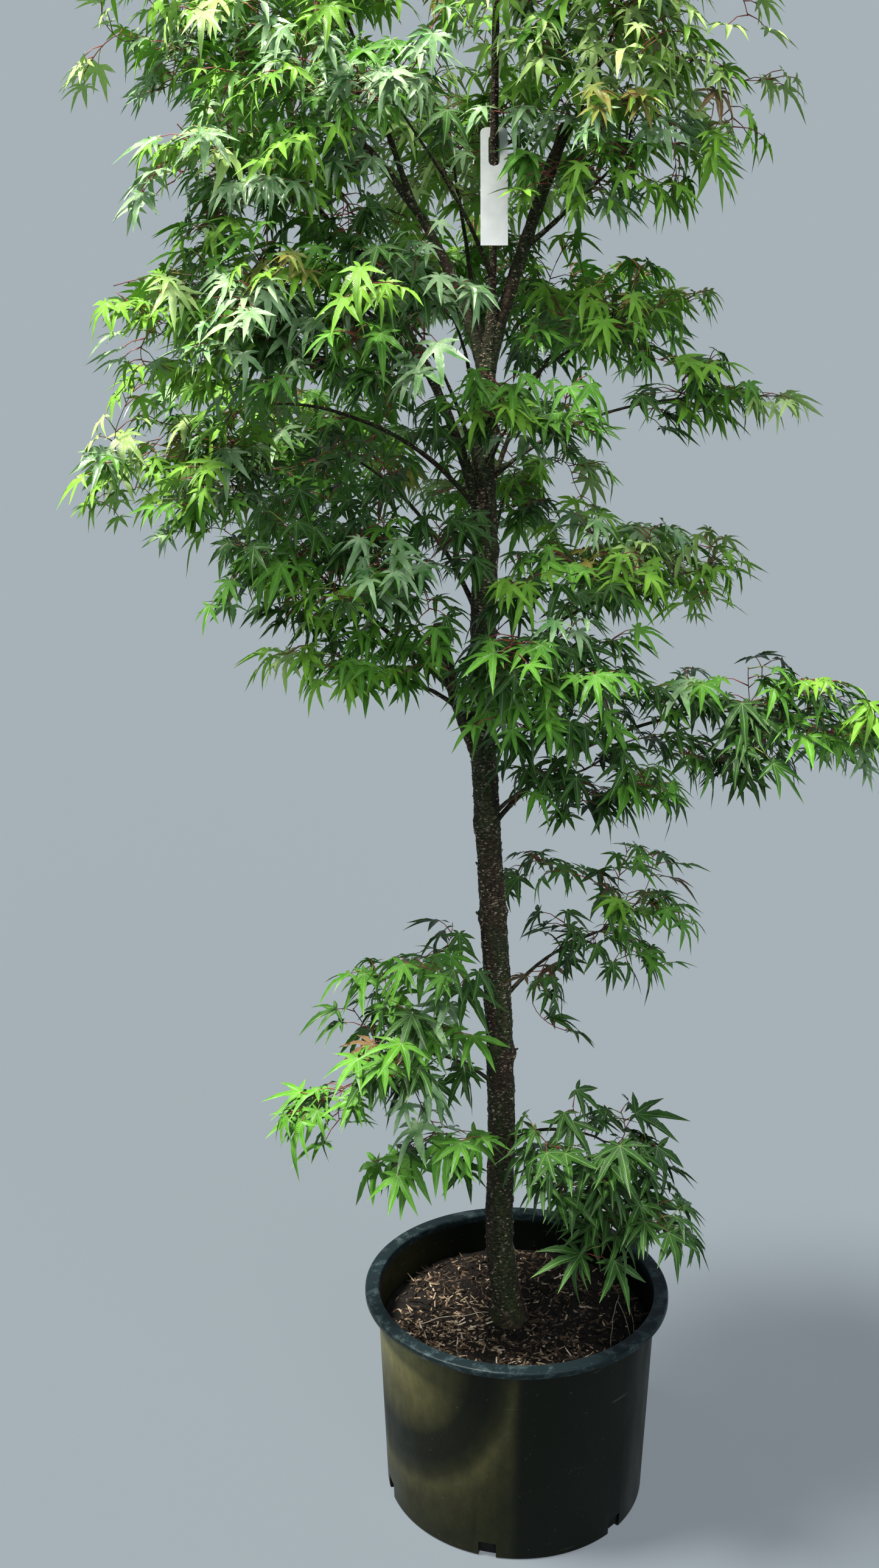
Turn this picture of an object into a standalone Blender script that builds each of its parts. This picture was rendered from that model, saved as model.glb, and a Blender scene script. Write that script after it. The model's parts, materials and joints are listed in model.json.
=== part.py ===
"""A young Japanese maple in a black nursery pot: pot, soil, trunk, boughs and masses of leaves.

Metres, +Z up. The origin is the middle of the pot's flat underside, and -Y is the front.
The trunk and each bough are tapering limbs. A mass of leaves hangs on each bough's tip: its twigs
fan out from one stem by a seeded rule, and its leaves are fused to the twigs at their roots.
"""

import math
import random
from collections import namedtuple

import bmesh
import bpy
from mathutils import Matrix, Vector
from mathutils.bvhtree import BVHTree

for old in list(bpy.data.objects):
    bpy.data.objects.remove(old, do_unlink=True)

# Driving sizes of the pot
POT_HEIGHT = 0.265
RIM_RADIUS = 0.185
FOOT_RADIUS = 0.159
SHOULDER_RADIUS = 0.1695
WALL = 0.003
FLOOR = 0.004
LIP_BAND = 0.015
LIP_SKIRT = 0.008
LIP_ROLL = 0.0025
LIP_HOLLOW = 0.001
SKIRT_SLOPE = 0.004
FOOT_CHAMFER = 0.003
POT_SIDES = 32
NOTCH_COUNT = 6
NOTCH_WIDTH = 0.021
NOTCH_HEIGHT = 0.020
NOTCH_DEPTH = 0.018
NOTCH_OVERHANG = 0.004
FIRST_NOTCH_ANGLE = -104.0

# Clearance between two pieces that touch
SEAT = 0.0003

# The soil inside the pot
SOIL_LEVEL = 0.220
SOIL_DIP = 0.006
SOIL_FLAT = 0.034
SOIL_SHELF = 0.0954
SOIL_SHELF_DROP = 0.002
SOIL_EDGE_ROOM = 0.001

# The trunk: height, sideways lean and width at each station
Station = namedtuple("Station", "height lean width")
TRUNK = (
    Station(SOIL_LEVEL, -0.010, 0.044),
    Station(0.236, -0.010, 0.038),
    Station(0.290, -0.018, 0.0345),
    Station(0.480, -0.020, 0.0325),
    Station(0.640, -0.026, 0.0315),
    Station(0.815, -0.037, 0.0290),
    Station(0.950, -0.045, 0.0285),
    Station(1.175, -0.045, 0.0275),
    Station(1.290, -0.0465, 0.0225),
    Station(1.345, -0.044, 0.0190),
    Station(1.395, -0.040, 0.0110),
    Station(1.550, -0.038, 0.0088),
    Station(1.700, -0.037, 0.0070),
    Station(1.850, -0.033, 0.0052),
)
TRUNK_SIDES = 10
BOUGH_SIDES = 6
BOUGH_STEPS = 4

# Edges sharper than these angles stay sharp
POT_SHARP_ANGLE = 40
LIMB_SHARP_ANGLE = 50

# Each bough: the limb that it leaves, where (a height on the trunk, or a share of its parent's
# length), its compass direction, its rise in degrees at the foot and at the tip, and its sizes.
Bough = namedtuple("Bough", "name parent where turn rise_foot rise_tip length foot_width tip_width")
BOUGHS = (
    Bough("right_leader", "trunk", 1.345, 16, 74, 68, 0.262, 0.0145, 0.0125),
    Bough("left_leader", "trunk", 1.335, 156, 76, 38, 0.335, 0.0130, 0.0065),
    Bough("back_leader", "trunk", 1.350, 107, 58, 64, 0.235, 0.0075, 0.0046),
    Bough("right_top", "right_leader", 0.85, -61, 41, 50, 0.155, 0.0060, 0.0040),
    Bough("right_upper", "right_leader", 0.50, -26, 35, 40, 0.125, 0.0060, 0.0042),
    Bough("left_top", "left_leader", 0.60, 133, 63, 61, 0.270, 0.0070, 0.0045),
    Bough("left_upper", "trunk", 1.170, -151, 77, 41, 0.403, 0.0125, 0.0055),
    Bough("left_mid", "left_upper", 0.42, -141, 52, 4, 0.240, 0.0058, 0.0042),
    Bough("left_outer", "trunk", 1.190, 166, 55, -7, 0.312, 0.0062, 0.0042),
    Bough("low_stub", "trunk", 0.920, -165, 61, 83, 0.169, 0.0170, 0.0150),
    Bough("left_lower", "low_stub", 0.55, -160, 42, 40, 0.205, 0.0072, 0.0044),
    Bough("left_low", "low_stub", 0.40, -150, 42, 8, 0.120, 0.0054, 0.0042),
    Bough("right_mid", "trunk", 1.285, 18, 54, 22, 0.150, 0.0056, 0.0042),
    Bough("right_small", "trunk", 1.225, -12, 44, 8, 0.205, 0.0050, 0.0040),
    Bough("right_broad", "trunk", 0.970, 23, 66, 12, 0.215, 0.0064, 0.0044),
    Bough("right_long", "trunk", 0.840, -12, 56, 6, 0.300, 0.0064, 0.0044),
    Bough("right_inner", "trunk", 0.850, -44, 52, 14, 0.145, 0.0052, 0.0040),
    Bough("right_low", "trunk", 0.625, 16, 54, 14, 0.145, 0.0056, 0.0042),
    Bough("right_foot", "trunk", 0.445, -40, 46, 0, 0.150, 0.0054, 0.0042),
    Bough("left_foot", "trunk", 0.520, -154, 52, 20, 0.110, 0.0056, 0.0042),
    Bough("front_upper", "trunk", 1.215, -118, 62, 40, 0.190, 0.0056, 0.0042),
    Bough("front_top", "trunk", 1.440, -135, 58, 38, 0.200, 0.0050, 0.0040),
    Bough("front_right", "trunk", 0.975, -72, 54, 18, 0.160, 0.0056, 0.0042),
    Bough("front_mid", "trunk", 1.230, -68, 56, 22, 0.115, 0.0050, 0.0040),
    Bough("back_upper", "trunk", 1.245, 98, 56, 20, 0.260, 0.0064, 0.0042),
    Bough("back_right", "trunk", 1.195, 58, 64, 30, 0.260, 0.0064, 0.0042),
    Bough("back_left", "trunk", 1.070, 132, 60, 18, 0.290, 0.0066, 0.0042),
    Bough("back_low", "trunk", 1.075, 80, 58, 18, 0.220, 0.0060, 0.0042),
)

# Each mass of leaves: the limb whose tip carries it, the middle and the half sizes of the space
# that it keeps to, how many twigs it has, and the seed of its rule.
Mass = namedtuple("Mass", "name limb middle reach twigs seed")
MASSES = (
    Mass("top", "trunk", (-0.04, 0.00, 1.930), (0.170, 0.170, 0.155), 5, 101),
    Mass("left_top", "left_top", (-0.235, 0.090, 1.775), (0.170, 0.160, 0.130), 5, 802),
    Mass("back_leader", "back_leader", (-0.075, 0.130, 1.600), (0.170, 0.150, 0.160), 4, 803),
    Mass("right_top", "right_top", (0.080, -0.070, 1.700), (0.170, 0.145, 0.125), 5, 704),
    Mass("left_leader", "left_leader", (-0.320, 0.030, 1.668), (0.170, 0.150, 0.115), 5, 605),
    Mass("right_upper", "right_upper", (0.095, -0.065, 1.588), (0.170, 0.130, 0.128), 5, 306),
    Mass("front_top", "front_top", (-0.195, -0.155, 1.600), (0.150, 0.135, 0.110), 4, 7),
    Mass("left_upper", "left_upper", (-0.27, -0.13, 1.530), (0.155, 0.140, 0.115), 4, 108),
    Mass("left_mid", "left_mid", (-0.285, -0.145, 1.395), (0.155, 0.145, 0.108), 5, 709),
    Mass("front_upper", "front_upper", (-0.165, -0.175, 1.405), (0.130, 0.115, 0.110), 4, 810),
    Mass("right_mid", "right_mid", (0.085, 0.030, 1.390), (0.135, 0.130, 0.080), 4, 111),
    Mass("back_upper", "back_upper", (-0.09, 0.25, 1.450), (0.180, 0.150, 0.140), 4, 612),
    Mass("back_right", "back_right", (0.07, 0.21, 1.430), (0.150, 0.140, 0.110), 4, 513),
    Mass("left_outer", "left_outer", (-0.335, 0.040, 1.245), (0.175, 0.145, 0.125), 5, 334),
    Mass("back_left", "back_left", (-0.22, 0.22, 1.275), (0.160, 0.140, 0.125), 4, 115),
    Mass("right_small", "right_small", (0.195, -0.055, 1.320), (0.110, 0.100, 0.055), 3, 716),
    Mass("front_right", "front_right", (-0.005, -0.150, 1.055), (0.125, 0.110, 0.105), 4, 717),
    Mass("front_mid", "front_mid", (-0.020, -0.110, 1.300), (0.105, 0.090, 0.065), 3, 127),
    Mass("left_lower", "left_lower", (-0.20, -0.09, 1.155), (0.170, 0.140, 0.115), 5, 118),
    Mass("back_low", "back_low", (-0.01, 0.22, 1.215), (0.150, 0.130, 0.100), 3, 819),
    Mass("right_broad", "right_broad", (0.120, 0.065, 1.135), (0.160, 0.140, 0.085), 5, 320),
    Mass("left_low", "left_low", (-0.19, -0.08, 1.045), (0.130, 0.105, 0.058), 3, 521),
    Mass("right_long", "right_long", (0.30, -0.08, 0.972), (0.190, 0.130, 0.080), 6, 322),
    Mass("right_inner", "right_inner", (0.095, -0.100, 0.962), (0.150, 0.105, 0.118), 3, 523),
    Mass("right_low", "right_low", (0.110, 0.035, 0.715), (0.155, 0.130, 0.140), 4, 824),
    Mass("left_foot", "left_foot", (-0.140, -0.050, 0.580), (0.165, 0.125, 0.180), 6, 25),
    Mass("right_foot", "right_foot", (0.105, -0.125, 0.440), (0.140, 0.120, 0.160), 5, 526),
)

# Twigs. A goal costs less when it lies straight ahead, and a side twig is slimmer than its parent.
Twig = namedtuple("Twig", "path widths parent")
TWIG_TIP_WIDTH = 0.0046
TWIG_SINK = 0.0012
TWIG_SIDES = 3
TWIG_STEPS = 2
TWIG_SPREAD = 0.56
SPREAD_RANGE = (0.85, 1.1)
SPREAD_FLATNESS = 0.8
LEAST_TWIG = 0.022
GOLDEN_ANGLE = math.pi * (3 - math.sqrt(5))
STRAIGHT_GAIN = 0.6
SIDE_TWIG_SHARE = 0.85
BEND_REACH = 0.45
LEAST_SLANT = 0.1

# Leaves. A leaf's size is from the end of its stalk to the tip of its middle lobe.
Lobe = namedtuple("Lobe", "angle length")
LOBES = (Lobe(-98, 0.52), Lobe(-48, 0.86), Lobe(0, 1.0), Lobe(48, 0.86), Lobe(98, 0.52))
RIM_POINTS = 2 * len(LOBES) + 1
NOTCH_SHARE = 0.30
HEEL_ANGLE = 152
HEEL_SHARE = 0.10
LEAF_SIZE = 0.086
LEAF_SIZE_RANGE = (0.85, 1.12)
LEAF_HALF_THICKNESS = 0.0010
LEAF_SAG = 0.22
LEAF_DROOP = (10, 55)
LEAF_ROLL = 0.35
LEAF_TRIES = 8
MOST_LEAVES = 16
LEAF_PAIRS = ((0.45, 0.60), (0.90, 0.97))
STALK_LENGTH = 0.034
STALK_LENGTH_RANGE = (0.75, 1.2)
STALK_RADIUS = 0.0008
STALK_FORWARD = (0.1, 0.9)
STALK_SIDEWAYS = (0.4, 1.0)
STALK_UPWARD = (-0.3, 0.5)
STALK_TOP = 0.6
STALK_KEEL = 1.2

# Room between leaves, how far past its space a mass may reach, and the shortest edge that stays
SPARE_ROOM = 0.0022
TRIAL_SHARE = 0.25
TWIG_TRIAL_SHARE = 0.5
SPACE_MARGIN = 1.12
JOINT_DETAIL = 0.0012
LEAST_TURN = 0.2
LEAST_CROSS = 1e-10

# The blank label that hangs on the leader through its slot
LABEL_WIDTH = 0.028
LABEL_LENGTH = 0.125
LABEL_THICKNESS = 0.0009
LABEL_SLOT_WIDTH = 0.0115
LABEL_SLOT_LENGTH = 0.034
LABEL_SLOT_FROM_TOP = 0.008
LABEL_TILT = 18.0
LABEL_SLOT_FOOT = 1.548
LABEL_CORNER = 0.005

UP = Vector((0, 0, 1))


def material(name, colour, roughness, metallic=0.0):
    """A plain Principled material."""
    made = bpy.data.materials.new(name)
    made.use_nodes = True
    shader = made.node_tree.nodes["Principled BSDF"]
    shader.inputs["Base Color"].default_value = (*colour, 1)
    shader.inputs["Roughness"].default_value = roughness
    shader.inputs["Metallic"].default_value = metallic
    return made


POT_PLASTIC = material("pot_plastic", (0.012, 0.012, 0.011), 0.35)
POTTING_MIX = material("potting_mix", (0.045, 0.028, 0.018), 0.95)
BARK = material("bark", (0.050, 0.034, 0.022), 0.85)
LEAF = material("leaf", (0.085, 0.230, 0.030), 0.50)
LABEL_PLASTIC = material("label_plastic", (0.800, 0.810, 0.820), 0.45)


def solid(name, points, faces, finish):
    """One mesh object from its points and faces."""
    mesh = bpy.data.meshes.new(name)
    mesh.from_pydata([tuple(point) for point in points], [], faces)
    mesh.materials.append(finish)
    made = bpy.data.objects.new(name, mesh)
    bpy.context.scene.collection.objects.link(made)
    return made


def shade_round(made, angle):
    """Smooth shading, with edges sharper than the angle kept sharp."""
    made.data.shade_smooth()
    made.data.set_sharp_from_angle(angle=math.radians(angle))


def freeze(made):
    """Replaces the object's mesh by what its modifiers give, and drops them."""
    graph = bpy.context.evaluated_depsgraph_get()
    mesh = bpy.data.meshes.new_from_object(made.evaluated_get(graph))
    made.modifiers.clear()
    made.data = mesh


def turns_over(face, old, new_place):
    """Whether the face would flip or vanish if its corner moved to the new place."""
    before = face.normal.copy()
    corners = [new_place if corner is old else corner.co for corner in face.verts]
    after = (corners[1] - corners[0]).cross(corners[2] - corners[0])
    return after.length < LEAST_CROSS or after.normalized().dot(before) < LEAST_TURN


def draw_together(made, least):
    """Closes edges shorter than the least length, where the surface stays whole and unfolded."""
    body = bmesh.new()
    body.from_mesh(made.data)
    bmesh.ops.triangulate(body, faces=body.faces)
    kept_apart = set()
    while True:
        body.normal_update()
        short = [edge for edge in body.edges if edge.calc_length() < least]
        short = [edge for edge in short if tuple(edge.verts[0].co + edge.verts[1].co) not in kept_apart]
        if not short:
            break
        edge = min(short, key=lambda edge: edge.calc_length())
        first, second = edge.verts
        place = (first.co + second.co) / 2
        shared = {side.other_vert(first) for side in first.link_edges}
        shared &= {side.other_vert(second) for side in second.link_edges}
        beside = set(edge.link_faces)
        folds = any(turns_over(face, first, place) for face in set(first.link_faces) - beside)
        folds = folds or any(turns_over(face, second, place) for face in set(second.link_faces) - beside)
        thin = any(len(corner.link_edges) < 4 for corner in shared)
        if len(shared) != 2 or thin or folds:
            kept_apart.add(tuple(first.co + second.co))
            continue
        bmesh.ops.pointmerge(body, verts=[first, second], merge_co=place)
    body.to_mesh(made.data)
    body.free()


def keep_largest(made):
    """Drops loose scraps and the walls of sealed hollows: only the outermost body stays."""
    body = bmesh.new()
    body.from_mesh(made.data)
    bmesh.ops.triangulate(body, faces=body.faces)
    body.verts.ensure_lookup_table()
    seen = set()
    islands = []
    for first in body.verts:
        if first in seen:
            continue
        island = {first}
        open_ends = [first]
        while open_ends:
            for edge in open_ends.pop().link_edges:
                for end in edge.verts:
                    if end not in island:
                        island.add(end)
                        open_ends.append(end)
        seen |= island
        islands.append(island)
    largest = max(islands, key=len)
    scraps = [point for point in body.verts if point not in largest]
    bmesh.ops.delete(body, geom=scraps, context="VERTS")
    body.to_mesh(made.data)
    body.free()


def heading(turn, rise):
    """The direction with this compass turn and rise, both in degrees."""
    flat = math.cos(math.radians(rise))
    across = math.radians(turn)
    return Vector((flat * math.cos(across), flat * math.sin(across), math.sin(math.radians(rise))))


def tube(path, widths, sides, twist=0.0, first_way=None):
    """Points and faces of a closed tube along the path, with a flat end at each end."""
    points = []
    side = None
    for at, centre in enumerate(path):
        ahead = (path[min(at + 1, len(path) - 1)] - path[max(at - 1, 0)]).normalized()
        if at == 0 and first_way is not None:
            ahead = first_way
        if side is None:
            side = ahead.orthogonal().normalized()
        side = (side - ahead * side.dot(ahead)).normalized()
        other = ahead.cross(side)
        for corner in range(sides):
            angle = twist + math.tau * corner / sides
            offset = side * math.cos(angle) + other * math.sin(angle)
            points.append(centre + offset * widths[at] / 2)
    faces = [tuple(reversed(range(sides)))]
    for ring in range(len(path) - 1):
        for corner in range(sides):
            low = ring * sides + corner
            low_next = ring * sides + (corner + 1) % sides
            faces.append((low, low_next, low_next + sides, low + sides))
    last = (len(path) - 1) * sides
    faces.append(tuple(last + corner for corner in range(sides)))
    return points, faces


def turned(name, profile, finish, sides=POT_SIDES):
    """A solid of revolution. The profile runs from the axis at the foot to the axis at the top."""
    points = [Vector((0, 0, profile[0][1]))]
    for radius, height in profile[1:-1]:
        for side in range(sides):
            angle = math.tau * side / sides
            points.append(Vector((radius * math.cos(angle), radius * math.sin(angle), height)))
    points.append(Vector((0, 0, profile[-1][1])))
    top = len(points) - 1
    rings = len(profile) - 2
    faces = []
    for side in range(sides):
        after = (side + 1) % sides
        faces.append((0, 1 + after, 1 + side))
        for ring in range(rings - 1):
            low = 1 + ring * sides
            faces.append((low + side, low + after, low + sides + after, low + sides + side))
        high = 1 + (rings - 1) * sides
        faces.append((high + side, high + after, top))
    return solid(name, points, faces, finish)


def arc_points(centre, radius, first, last, steps):
    """Points of an arc in the profile's plane, angles in degrees."""
    found = []
    for step in range(steps + 1):
        angle = math.radians(first + (last - first) * step / steps)
        found.append((centre[0] + radius * math.cos(angle), centre[1] + radius * math.sin(angle)))
    return found


def make_pot():
    """The nursery pot: a tapering cup with a broad rolled lip and drain notches at its foot."""
    inner_top = SHOULDER_RADIUS - WALL
    inner_foot = FOOT_RADIUS - WALL
    lip_top = POT_HEIGHT - LIP_ROLL
    skirt = POT_HEIGHT - LIP_SKIRT
    profile = [(0, 0), (FOOT_RADIUS - FOOT_CHAMFER, 0), (FOOT_RADIUS, FOOT_CHAMFER)]
    profile += [(SHOULDER_RADIUS, skirt - SKIRT_SLOPE), (RIM_RADIUS - WALL, skirt), (RIM_RADIUS, skirt)]
    profile += arc_points((RIM_RADIUS - LIP_ROLL, lip_top), LIP_ROLL, 0, 90, 3)
    profile += arc_points((RIM_RADIUS - LIP_BAND, lip_top - LIP_HOLLOW), LIP_ROLL, 90, 160, 2)
    profile += [(inner_top, skirt - SKIRT_SLOPE), (inner_foot, FLOOR), (0, FLOOR)]
    pot = turned("pot", profile, POT_PLASTIC)
    for index in range(NOTCH_COUNT):
        turn = math.radians(FIRST_NOTCH_ANGLE + 360 * index / NOTCH_COUNT)
        middle = FOOT_RADIUS + NOTCH_OVERHANG - NOTCH_DEPTH / 2
        bpy.ops.mesh.primitive_cube_add(size=1)
        cutter = bpy.context.object
        cutter.name = f"notch_cutter_{index + 1}"
        size = Matrix.Diagonal((NOTCH_DEPTH, NOTCH_WIDTH, NOTCH_HEIGHT * 2, 1))
        place = Matrix.Translation((middle * math.cos(turn), middle * math.sin(turn), 0))
        cutter.data.transform(place @ Matrix.Rotation(turn, 4, "Z") @ size)
        cutter.hide_render = True
        cutter.display_type = "WIRE"
        cut = pot.modifiers.new(f"notch_{index + 1}", "BOOLEAN")
        cut.operation = "DIFFERENCE"
        cut.object = cutter
    shade_round(pot, POT_SHARP_ANGLE)
    return pot


def make_soil():
    """The potting mix that fills the pot, flat where the trunk stands and lower at the wall."""
    slope = (SHOULDER_RADIUS - FOOT_RADIUS) / POT_HEIGHT
    foot = FLOOR + SEAT
    edge = SOIL_LEVEL - SOIL_DIP
    foot_radius = FOOT_RADIUS - WALL - 2 * SEAT - SOIL_EDGE_ROOM
    top = SOIL_LEVEL - SEAT
    profile = [(0, foot), (foot_radius, foot), (foot_radius + slope * edge, edge)]
    profile += [(SOIL_SHELF, top - SOIL_SHELF_DROP), (SOIL_FLAT, top), (0, top)]
    soil = turned("soil", profile, POTTING_MIX)
    shade_round(soil, POT_SHARP_ANGLE)
    return soil


def trunk_point(height):
    """The middle of the trunk and its width at a height."""
    for low, high in zip(TRUNK, TRUNK[1:]):
        if height <= high.height:
            share = (height - low.height) / (high.height - low.height)
            lean = low.lean + share * (high.lean - low.lean)
            return Vector((lean, 0, height)), low.width + share * (high.width - low.width)
    raise ValueError("the height is above the trunk")


def bough_path(bough, foot):
    """The bough's middle line, bending from its rise at the foot to its rise at the tip."""
    path = [foot.copy()]
    for step in range(BOUGH_STEPS):
        share = (step + 0.5) / BOUGH_STEPS
        rise = bough.rise_foot + (bough.rise_tip - bough.rise_foot) * share
        path.append(path[-1] + heading(bough.turn, rise) * bough.length / BOUGH_STEPS)
    return path


def along(path, share):
    """The point at a share of the path's length, whose steps are equal."""
    place = share * (len(path) - 1)
    step = min(int(place), len(path) - 2)
    return path[step].lerp(path[step + 1], place - step)


def grown(limb, spare):
    """Points and faces of a limb made wider by the spare room on every side."""
    path, widths, sides = limb
    return tube(path, [width + 2 * spare for width in widths], sides)


def make_limbs():
    """The trunk and the boughs. Each bough is cut to fit the limbs that it grows from or passes."""
    limbs = {}
    path = [Vector((station.lean, 0, station.height)) for station in TRUNK]
    limbs["trunk"] = (path, [station.width for station in TRUNK], TRUNK_SIDES)
    made = {"trunk": solid("trunk", *grown(limbs["trunk"], 0), BARK)}
    for bough in BOUGHS:
        if bough.parent == "trunk":
            foot = trunk_point(bough.where)[0]
        else:
            foot = along(limbs[bough.parent][0], bough.where)
        path = bough_path(bough, foot)
        taper = (bough.tip_width - bough.foot_width) / BOUGH_STEPS
        widths = [bough.foot_width + taper * step for step in range(BOUGH_STEPS + 1)]
        limb = (path, widths, BOUGH_SIDES)
        piece = solid(f"bough_{bough.name}", *grown(limb, 0), BARK)
        shape = BVHTree.FromPolygons(*grown(limb, 0))
        cutters = []
        for other in limbs.values():
            if shape.overlap(BVHTree.FromPolygons(*grown(other, SEAT))):
                cutter = solid("limb_cutter", *grown(other, SEAT), BARK)
                cutters.append(cutter)
                cut = piece.modifiers.new("seat", "BOOLEAN")
                cut.operation = "DIFFERENCE"
                cut.object = cutter
        freeze(piece)
        for cutter in cutters:
            bpy.data.objects.remove(cutter, do_unlink=True)
        keep_largest(piece)
        limbs[bough.name] = limb
        made[bough.name] = piece
    for piece in made.values():
        shade_round(piece, LIMB_SHARP_ANGLE)
    return limbs, made


def make_label():
    """A thin blank label. The leader passes through its slot, so that it hangs tilted."""
    half = LABEL_WIDTH / 2
    slot = LABEL_SLOT_WIDTH / 2
    slot_top = -LABEL_SLOT_FROM_TOP
    slot_foot = slot_top - LABEL_SLOT_LENGTH
    outer = [(half, -LABEL_LENGTH), (half, -LABEL_CORNER), (half - LABEL_CORNER, 0)]
    outer += [(-x, z) for x, z in reversed(outer)]
    inner = [(slot, slot_foot), (slot, slot_top), (-slot, slot_top), (-slot, slot_foot)]
    # The faces run round the slot, so each joins the outline to the slot's edge
    bands = ((0, 1, 7, 6), (1, 2, 7), (2, 3, 8, 7), (3, 4, 8), (4, 5, 9, 8), (5, 0, 6, 9))
    half_thick = LABEL_THICKNESS / 2
    flat = outer + inner
    points = [Vector((x, -half_thick, z - slot_foot)) for x, z in flat]
    points += [Vector((x, half_thick, z - slot_foot)) for x, z in flat]
    count = len(flat)
    faces = list(bands)
    faces += [tuple(count + corner for corner in reversed(band)) for band in bands]
    for ring, order in ((range(6), 1), (range(6, 10), -1)):
        ring = list(ring)[::order]
        for corner, after in zip(ring, ring[1:] + ring[:1]):
            faces.append((corner, count + corner, count + after, after))
    middle, width = trunk_point(LABEL_SLOT_FOOT)
    front = width / 2 + half_thick + 2 * SEAT
    turn = Matrix.Rotation(math.radians(-LABEL_TILT), 4, "X")
    place = Matrix.Translation(middle + Vector((0, -front, 0))) @ turn
    label = solid("label", [place @ point for point in points], faces, LABEL_PLASTIC)
    body = bmesh.new()
    body.from_mesh(label.data)
    bmesh.ops.recalc_face_normals(body, faces=body.faces)
    bmesh.ops.triangulate(body, faces=body.faces)
    body.to_mesh(label.data)
    body.free()
    return label


def bend(start, ahead, goal, steps):
    """A smooth curve that leaves the start ahead and ends at the goal."""
    knee = start + ahead * BEND_REACH * (goal - start).length
    path = []
    for step in range(steps + 1):
        share = step / steps
        path.append(start.lerp(knee, share).lerp(knee.lerp(goal, share), share))
    return path


def leaf_shape(root, hub, ahead, normal, size):
    """Points and faces of one leaf: a five-lobed star with a stalk whose foot is at the root."""
    across = ahead.cross(normal).normalized()
    normal = across.cross(ahead).normalized()
    rim = [(-HEEL_ANGLE, HEEL_SHARE)]
    for at, lobe in enumerate(LOBES):
        if at:
            rim.append(((LOBES[at - 1].angle + lobe.angle) / 2, NOTCH_SHARE))
        rim.append((lobe.angle, lobe.length))
    rim.append((HEEL_ANGLE, HEEL_SHARE))
    points = []
    for angle, share in rim:
        turn = math.radians(angle)
        flat = ahead * math.cos(turn) + across * math.sin(turn)
        points.append(hub + flat * share * size - normal * LEAF_SAG * size * share * share)
    last = len(points) - 1
    top = len(points)
    under = top + 1
    points += [hub + normal * LEAF_HALF_THICKNESS, hub - normal * LEAF_HALF_THICKNESS]
    stalk = (hub - root).normalized()
    side = (across - stalk * across.dot(stalk)).normalized()
    lift = side.cross(stalk).normalized()
    left, right, keel = top + 2, top + 3, top + 4
    points += [root + (lift * STALK_TOP - side) * STALK_RADIUS]
    points += [root + (lift * STALK_TOP + side) * STALK_RADIUS]
    points += [root - lift * STALK_KEEL * STALK_RADIUS]
    faces = []
    for corner in range(last):
        faces.append((corner, corner + 1, top))
        faces.append((corner + 1, corner, under))
    faces += [(left, top, right), (left, 0, top), (right, top, last)]
    faces += [(left, under, 0), (left, keel, under), (right, under, keel), (right, last, under)]
    faces += [(left, right, keel)]
    return points, faces


def outward(points, faces):
    """The same closed shape with its faces pointing out."""
    volume = 0.0
    for face in faces:
        a, b, c = (points[corner] for corner in face[:3])
        volume += a.dot(b.cross(c))
    return faces if volume > 0 else [tuple(reversed(face)) for face in faces]


def within(space, point, margin=1.0):
    """Whether the point lies in the mass's space, an ellipsoid."""
    middle, reach = space
    return sum(((p - m) / r) ** 2 for p, m, r in zip(point, middle, reach)) < margin * margin


class Crown:
    """What stands already, so that a new twig or leaf can be tried against it."""

    def __init__(self, pieces):
        self.trees = []
        for piece in pieces:
            mesh = piece.data
            points = [corner.co.copy() for corner in mesh.vertices]
            faces = [tuple(face.vertices) for face in mesh.polygons]
            self.add(points, faces)

    def add(self, points, faces):
        low = Vector([min(point[axis] for point in points) for axis in range(3)])
        high = Vector([max(point[axis] for point in points) for axis in range(3)])
        self.trees.append((low, high, BVHTree.FromPolygons(points, faces)))

    def free(self, points, faces):
        low = [min(point[axis] for point in points) - SPARE_ROOM for axis in range(3)]
        high = [max(point[axis] for point in points) + SPARE_ROOM for axis in range(3)]
        shape = None
        for other_low, other_high, tree in self.trees:
            if any(other_low[k] > high[k] or other_high[k] < low[k] for k in range(3)):
                continue
            shape = shape or BVHTree.FromPolygons(points, faces)
            if shape.overlap(tree):
                return False
            for point in points:
                if tree.find_nearest(point, SPARE_ROOM)[0] is not None:
                    return False
        return True


def goals_of(mass, rng):
    """Where the twigs of a mass are heading: evenly spread round the middle of its space."""
    middle = Vector(mass.middle)
    found = []
    for index in range(mass.twigs):
        height = 1 - 2 * (index + 0.5) / mass.twigs
        turn = index * GOLDEN_ANGLE + mass.seed
        flat = math.sqrt(1 - height * height)
        way = Vector((flat * math.cos(turn), flat * math.sin(turn), height * SPREAD_FLATNESS))
        share = TWIG_SPREAD * rng.uniform(*SPREAD_RANGE)
        found.append(middle + Vector([w * r * share for w, r in zip(way, mass.reach)]))
    return found


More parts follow.
